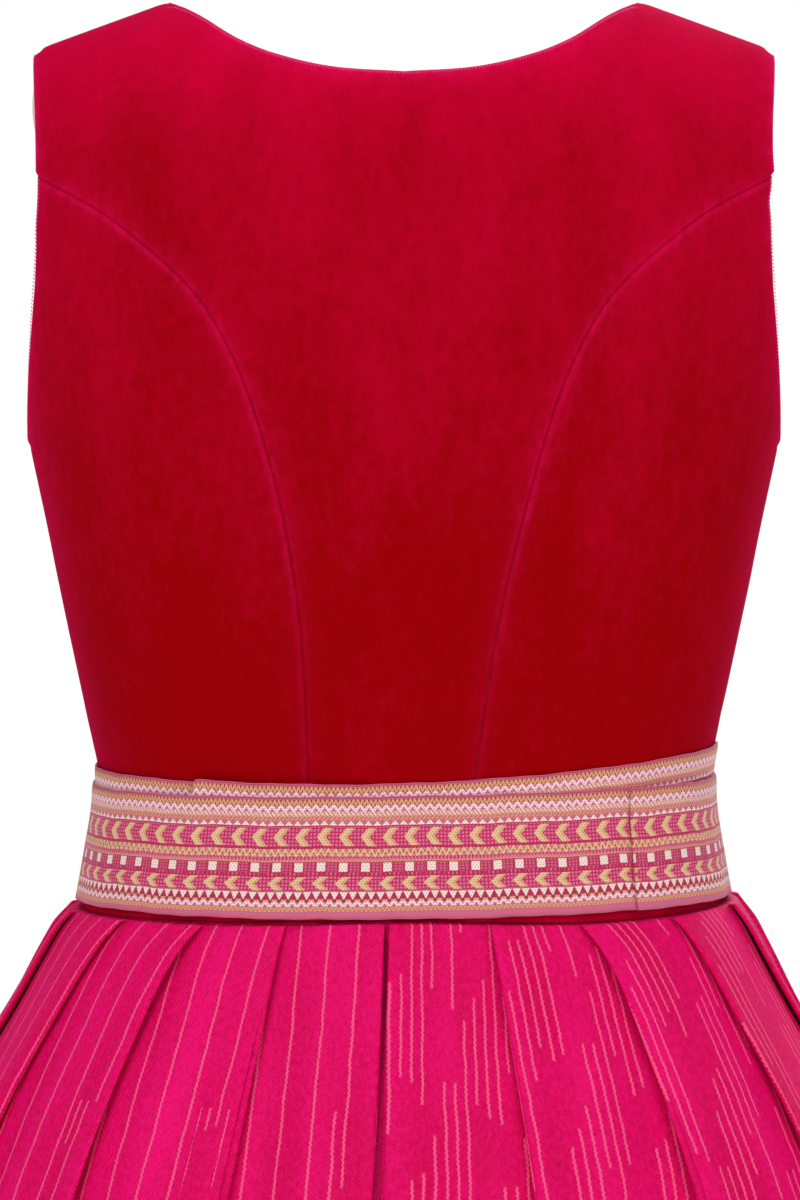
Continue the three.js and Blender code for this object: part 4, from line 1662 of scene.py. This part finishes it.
for node, columns_an_arc, rows, material in (
    ("skirt_back", 6, 110, twill_back),
    ("skirt_front", 4, 90, twill_front),
):
    columns = arcs_of(node) * columns_an_arc
    grid, spots = skirt_rules(node, columns, rows)
    sheet = cloth_sheet("twill_" + node, columns, rows, from_table(grid), from_table(spots), material)
    pieces[node] = thicken(sheet, TWILL_WALL, inwards=False)
    print(node, "area", round(sheet_area(pieces[node]), 4), "m2")

# %% [markdown]
# ## The belt
#
# One long ribbon goes round twice. Each turn starts under its own end, so the ribbon climbs by its
# own thickness over a short ramp. The second turn lies a little lower, and the first shows above it
# as a narrow line. The free end is folded under and lies on top.

# %% The belt's measures
# Heights are in millimetres. Angles are in degrees: 0 is the wearer's right side, 90 the centre back.
BELT_CLEARANCE = 1.4
BELT_LAYER = 1.55
BELT_RAMP = 12.0
UNDER_TOP = {"centre": -329.0, "slope": 0.037, "bow": 0.00035}
UNDER_BOTTOM = {"centre": -381.0, "slope": 0.02, "bow": 0.00015}
OUTER_TOP = {"centre": -334.2, "slope": 0.0144, "bow": 0.00004}
OUTER_BOTTOM = {"centre": -384.9, "slope": 0.01, "bow": 0.0001}
UNDER_LAP = (108.0, 135.0)
OUTER_LAP = (24.0, 42.0)
END_SLANT = 1.1
END_RISE = 1.2
END_RISE_FROM = 455.0
END_RISE_OVER = 40.0
END_ROUND = 2.6
END_ROUND_OVER = 1.6
END_TOP = 0.8
RING_STEP = 2


def belt_edge(edge, x):
    """Height of one edge of the ribbon at x."""
    return edge["centre"] + edge["slope"] * x + edge["bow"] * x * x


def lap_layer(degrees, lap):
    """1 where another turn's lap lies under the cloth, with a ramp before and after it."""
    up = np.clip((degrees - (lap[0] - BELT_RAMP)) / BELT_RAMP, 0, 1)
    down = np.clip((lap[1] + BELT_RAMP - degrees) / BELT_RAMP, 0, 1)
    return np.minimum(up, down)


waist_rings = {level: bodice_ring(level) for level in range(-394, -307, RING_STEP)}
print(len(waist_rings), "ovals at the waist")


# %% Rule of one turn
def at_waist(place, z):
    """Points of the bodice's ovals, and their normals, at any height near the waist."""
    points = np.zeros((len(place), 2))
    normals = np.zeros((len(place), 2))
    low = np.floor(z / RING_STEP) * RING_STEP
    for level in np.unique(low):
        rows = low == level
        share = ((z[rows] - level) / RING_STEP)[:, None]
        below, above = waist_rings[int(level)], waist_rings[int(level) + RING_STEP]
        points[rows] = mix(on_oval(below, place[rows]), on_oval(above, place[rows]), share)
        normals[rows] = oval_normal(below, place[rows])
    return points, normals


def belt_rule(lap, top, bottom, under_laps):
    """The rules of a turn: from its lap's first angle, once round, to its lap's second angle."""
    start, finish = lap[0], 360.0 + lap[1]
    ring = bodice_ring(belt_edge(top, 0))

    def end_rise(degrees, v):
        """The first turn's end stands a little higher, and its corner is rounded."""
        rise = END_RISE * np.clip((degrees - END_RISE_FROM) / END_RISE_OVER, 0, 1)
        corner = END_ROUND * np.clip((degrees - finish + END_ROUND_OVER) / END_ROUND_OVER, 0, 1) ** 2
        return (rise - corner) * np.clip((v - END_TOP) / (1 - END_TOP), 0, 1) * (lap == UNDER_LAP)

    def rule(u, v):
        degrees = mix(finish + END_SLANT * (1 - v), start, u)
        own = np.clip((degrees - (360 + lap[0] - BELT_RAMP)) / BELT_RAMP, 0, 1)
        under = len(under_laps) + sum(lap_layer(degrees % 360, other) for other in under_laps)
        lift = BELT_CLEARANCE + BELT_LAYER * (own + under)
        place = (90 - degrees) / 360
        x = on_oval(ring, place)[:, 0]
        wobble = 0.14 * np.sin(degrees * 0.31) + 0.1 * np.sin(degrees * 0.83 + 1)
        z = mix(belt_edge(bottom, x), belt_edge(top, x), v) + wobble + end_rise(degrees, v)
        points, normals = at_waist(place, z)
        pillow = 0.25 * np.sin(math.pi * v) - 0.5 * hump(v, 1, 0.03)
        ripple = 0.22 * np.sin(degrees * 0.52 + v * 2.1) * (0.3 + np.abs(v - 0.5))
        spot = points + normals * (lift + pillow + ripple)[:, None]
        return np.concatenate([spot, z[:, None]], axis=1)

    def cloth_rule(u, v):
        degrees = mix(finish, start, u)
        place = (90 - degrees) / 360
        x = on_oval(ring, place)[:, 0]
        tall = belt_edge(top, x) - belt_edge(bottom, x)
        return np.stack([place * ring[2][-1], (1 - v) * tall], axis=-1)

    return rule, cloth_rule


# %% Wind the two turns
RIBBON_WALL = 0.0010
RIBBON_GRID = (340, 26)
for node, lap, top, bottom, under_laps in (
    ("belt_under_wrap", UNDER_LAP, UNDER_TOP, UNDER_BOTTOM, []),
    ("belt_outer_wrap", OUTER_LAP, OUTER_TOP, OUTER_BOTTOM, [UNDER_LAP]),
):
    rule, cloth_rule = belt_rule(lap, top, bottom, under_laps)
    sheet = cloth_sheet("ribbon_" + node, *RIBBON_GRID, rule, cloth_rule, ribbon)
    pieces[node] = thicken(sheet, RIBBON_WALL, inwards=False)
    print(node, "area", round(sheet_area(pieces[node]), 4), "m2")

# %% [markdown]
# ## Edge stitches
#
# Neckline and armholes are whipped with short slanting stitches of a paler thread. One stitch is
# modelled as a small spindle, and copies of it are set along the edges, each turned to lie on the
# cloth at a slant.

# %% Places of the stitches
STITCH_PITCH = 1.55
STITCH_SIZE = (0.82, 0.24, 0.2)
STITCH_LIE = (0.72, 0.69)
WALK_STEPS = 1200


def edge_walk(form, start, finish):
    """Points, edge directions and normals every stitch along a border, in millimetres."""
    t = np.linspace(0, 1, WALK_STEPS)
    u = mix(start[0], finish[0], t)
    v = mix(start[1], finish[1], t)
    points = form(u, v)
    normals = outward(form, u, v)
    walked = np.concatenate([[0], np.cumsum(length_of(np.diff(points, axis=0)))])
    count = int(walked[-1] / STITCH_PITCH)
    stops = (np.arange(count) + 0.5) * STITCH_PITCH

    def at_stops(values):
        return np.stack([np.interp(stops, walked, values[:, k]) for k in range(3)], axis=-1)

    return at_stops(points), unit(at_stops(np.gradient(points, axis=0))), unit(at_stops(normals))


print("a stitch every", STITCH_PITCH, "mm")


# %% One stitch, and its copies
def whip_stitches(name, walks):
    """One mesh with a spindle for each stitch of several walks."""
    bpy.ops.object.select_all(action="DESELECT")
    bpy.ops.mesh.primitive_ico_sphere_add(subdivisions=1, radius=MM)
    first = bpy.context.object
    first.data.transform(Matrix.Diagonal((*STITCH_SIZE, 1)))
    made = []
    for spots, ways, faces in walks:
        for spot, way, face in zip(spots, ways, faces):
            lie = way * STITCH_LIE[0] + np.cross(face, way) * STITCH_LIE[1]
            lie = lie / np.linalg.norm(lie)
            side = np.cross(face, lie)
            turn = Matrix((lie, side, face)).transposed().to_4x4()
            turn.translation = Vector(spot * MM)
            mesh = first.data.copy()
            mesh.transform(turn)
            copy = bpy.data.objects.new(name, mesh)
            bpy.context.collection.objects.link(copy)
            made.append(copy)
    bpy.ops.object.select_all(action="DESELECT")
    for copy in made:
        copy.select_set(True)
    bpy.context.view_layer.objects.active = made[0]
    bpy.ops.object.join()
    piece = bpy.context.object
    piece.name = name
    piece.data.materials.append(thread)
    bpy.ops.object.shade_smooth()
    bpy.data.objects.remove(first)
    print(name, "has", len(made), "stitches")
    return piece


# %% Stitches round the neckline and the armholes
BACK_INSET = 0.0085
FRONT_INSET = 0.02
SCOOP_INSET = 0.018
SIDE_ROW = 0.9935
NECK_ROW = 0.93
NECK_COLUMNS = (0.245, 0.755)
ARM_ROWS = (CORNER_SHARE + 0.004, 0.999)
SCOOP_ROWS = (CORNER_SHARE * SCOOP_START + 0.01, 0.995)


def column_walk(form, column, rows):
    """Stitches up one column of a panel."""
    return edge_walk(form, (column, rows[0]), (column, rows[1]))


neck_walks = [
    edge_walk(back_shape, (NECK_COLUMNS[0], NECK_ROW), (NECK_COLUMNS[1], NECK_ROW)),
    column_walk(front_forms["front_left"], SCOOP_INSET, SCOOP_ROWS),
    column_walk(front_forms["front_right"], 1 - SCOOP_INSET, SCOOP_ROWS),
]
stitches = {"neck_stitches": whip_stitches("neck_stitches", neck_walks)}
for side, back_column, front_column in (
    ("left", BACK_INSET, 1 - FRONT_INSET),
    ("right", 1 - BACK_INSET, FRONT_INSET),
):
    arm_walks = [
        column_walk(back_shape, back_column, ARM_ROWS),
        edge_walk(side_forms["back_side_" + side], (0.0, SIDE_ROW), (1.0, SIDE_ROW)),
        edge_walk(side_forms["front_side_" + side], (0.0, SIDE_ROW), (1.0, SIDE_ROW)),
        column_walk(front_forms["front_" + side], front_column, ARM_ROWS),
    ]
    name = side + "_armhole_stitches"
    stitches[name] = whip_stitches(name, arm_walks)

# %% [markdown]
# ## Small finishes
#
# Two small things show how the dress is finished. A sliver of lining peeps out at one armhole, and
# the hem is turned up on the inside.

# %% Sliver of lining at the left armhole
LINING_TOP = -34.0
LINING_FOOT = -62.0
LINING_WALL = 0.0005
LINING_GRID = (40, 8)


def lining_lip(u, v):
    """A narrow lip that comes out from under the velvet's turned edge."""
    z = mix(LINING_FOOT, LINING_TOP, u)
    swell = np.sin(math.pi * u) ** 0.6
    edge = skin(-armhole(z), z, BACK)
    inner = skin(-armhole(z) + 2, z, BACK)
    tangent = unit(edge - inner)
    up = np.stack([0 * z, 0 * z, 0 * z + 1], axis=-1)
    normal = unit(np.cross(up, tangent))
    out = (-2.1 + 2.4 * v * swell)[:, None]
    along = (-1.2 + 1.4 * v * swell)[:, None]
    return edge + normal * out + tangent * along


lip = cloth_sheet("lining_lip", *LINING_GRID, lining_lip, flat_spot(lining_lip), lining)
thicken(lip, LINING_WALL)
print("lining lip", round(sheet_area(lip) * 1e6), "mm2")

# %% Hem turned up inside
HEM_DEPTH = 34.0
HEM_LIFT = 0.6
HEM_ROWS = 5
HEM_WALL = 0.0006


def hem_table(which, columns, rows):
    """The skirt's lowest part again, moved in by the thickness of the cloth."""
    share = np.arange(columns + 1) / columns
    grid = np.zeros((rows + 1, columns + 1, 3))
    for r in range(rows + 1):
        z = SKIRT_HEM + HEM_LIFT + HEM_DEPTH * r / rows
        inwards = 1.25 + 0.25 * math.sin(r * 1.3)
        grid[r, :, :2] = level_line(which, z, share, inwards)
        grid[r, :, 2] = z
    return grid


hems = {}
for node, columns_an_arc, material in (("skirt_back", 3, twill_back), ("skirt_front", 2, twill_front)):
    columns = arcs_of(node) * columns_an_arc
    rule = from_table(hem_table(node, columns, HEM_ROWS))
    name = node.replace("skirt", "hem")
    hem = cloth_sheet(name, columns, HEM_ROWS, rule, flat_spot(rule), material)
    hems[node] = thicken(hem, HEM_WALL, inwards=False)
    print(name, "area", round(sheet_area(hem), 4), "m2")

# %% [markdown]
# ## Attach the pieces
#
# Every sheet rides on the one rigid body and stands for its own solid. The area of each piece is printed
# as a share of the flat piece of cloth that it was cut from.

# %% Ride and replace
for node, piece in pieces.items():
    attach(piece, "root")
    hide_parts(node)
for piece in stitches.values():
    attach(piece, "root")
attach(lip, "root")
for hem in hems.values():
    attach(hem, "root")

# %% Flat sizes of the cut pieces, in metres
CUTS = {
    "back_centre": ((0.335, 0.405), 0.066, "stretched", ["back_side_left", "back_side_right"]),
    "back_side_left": ((0.17, 0.33), 0.042, "stretched", ["back_centre", "front_side_left"]),
    "back_side_right": ((0.17, 0.33), 0.042, "stretched", ["back_centre", "front_side_right"]),
    "front_side_left": ((0.16, 0.30), 0.0345, "stretched", ["back_side_left", "front_left"]),
    "front_side_right": ((0.16, 0.30), 0.0345, "stretched", ["back_side_right", "front_right"]),
    "front_left": ((0.165, 0.405), 0.034, "stretched", ["back_centre", "front_right"]),
    "front_right": ((0.165, 0.405), 0.034, "stretched", ["back_centre", "front_left"]),
    "belt_under_wrap": ((0.785, 0.055), None, "stretched", ["back_centre", "front_left"]),
    "belt_outer_wrap": ((0.785, 0.053), None, "stretched", ["belt_under_wrap"]),
    "skirt_back": ((0.95, 0.69), None, "gathered", ["back_centre", "back_side_left", "back_side_right"]),
    "skirt_front": ((1.22, 0.69), None, "gathered", ["front_left", "front_right"]),
}
for node, (flat, area, held, rests_on) in CUTS.items():
    piece = pieces[node]
    cut = area or flat[0] * flat[1]
    print(node, "measures", round(sheet_area(piece) / cut, 2), "of its cut")
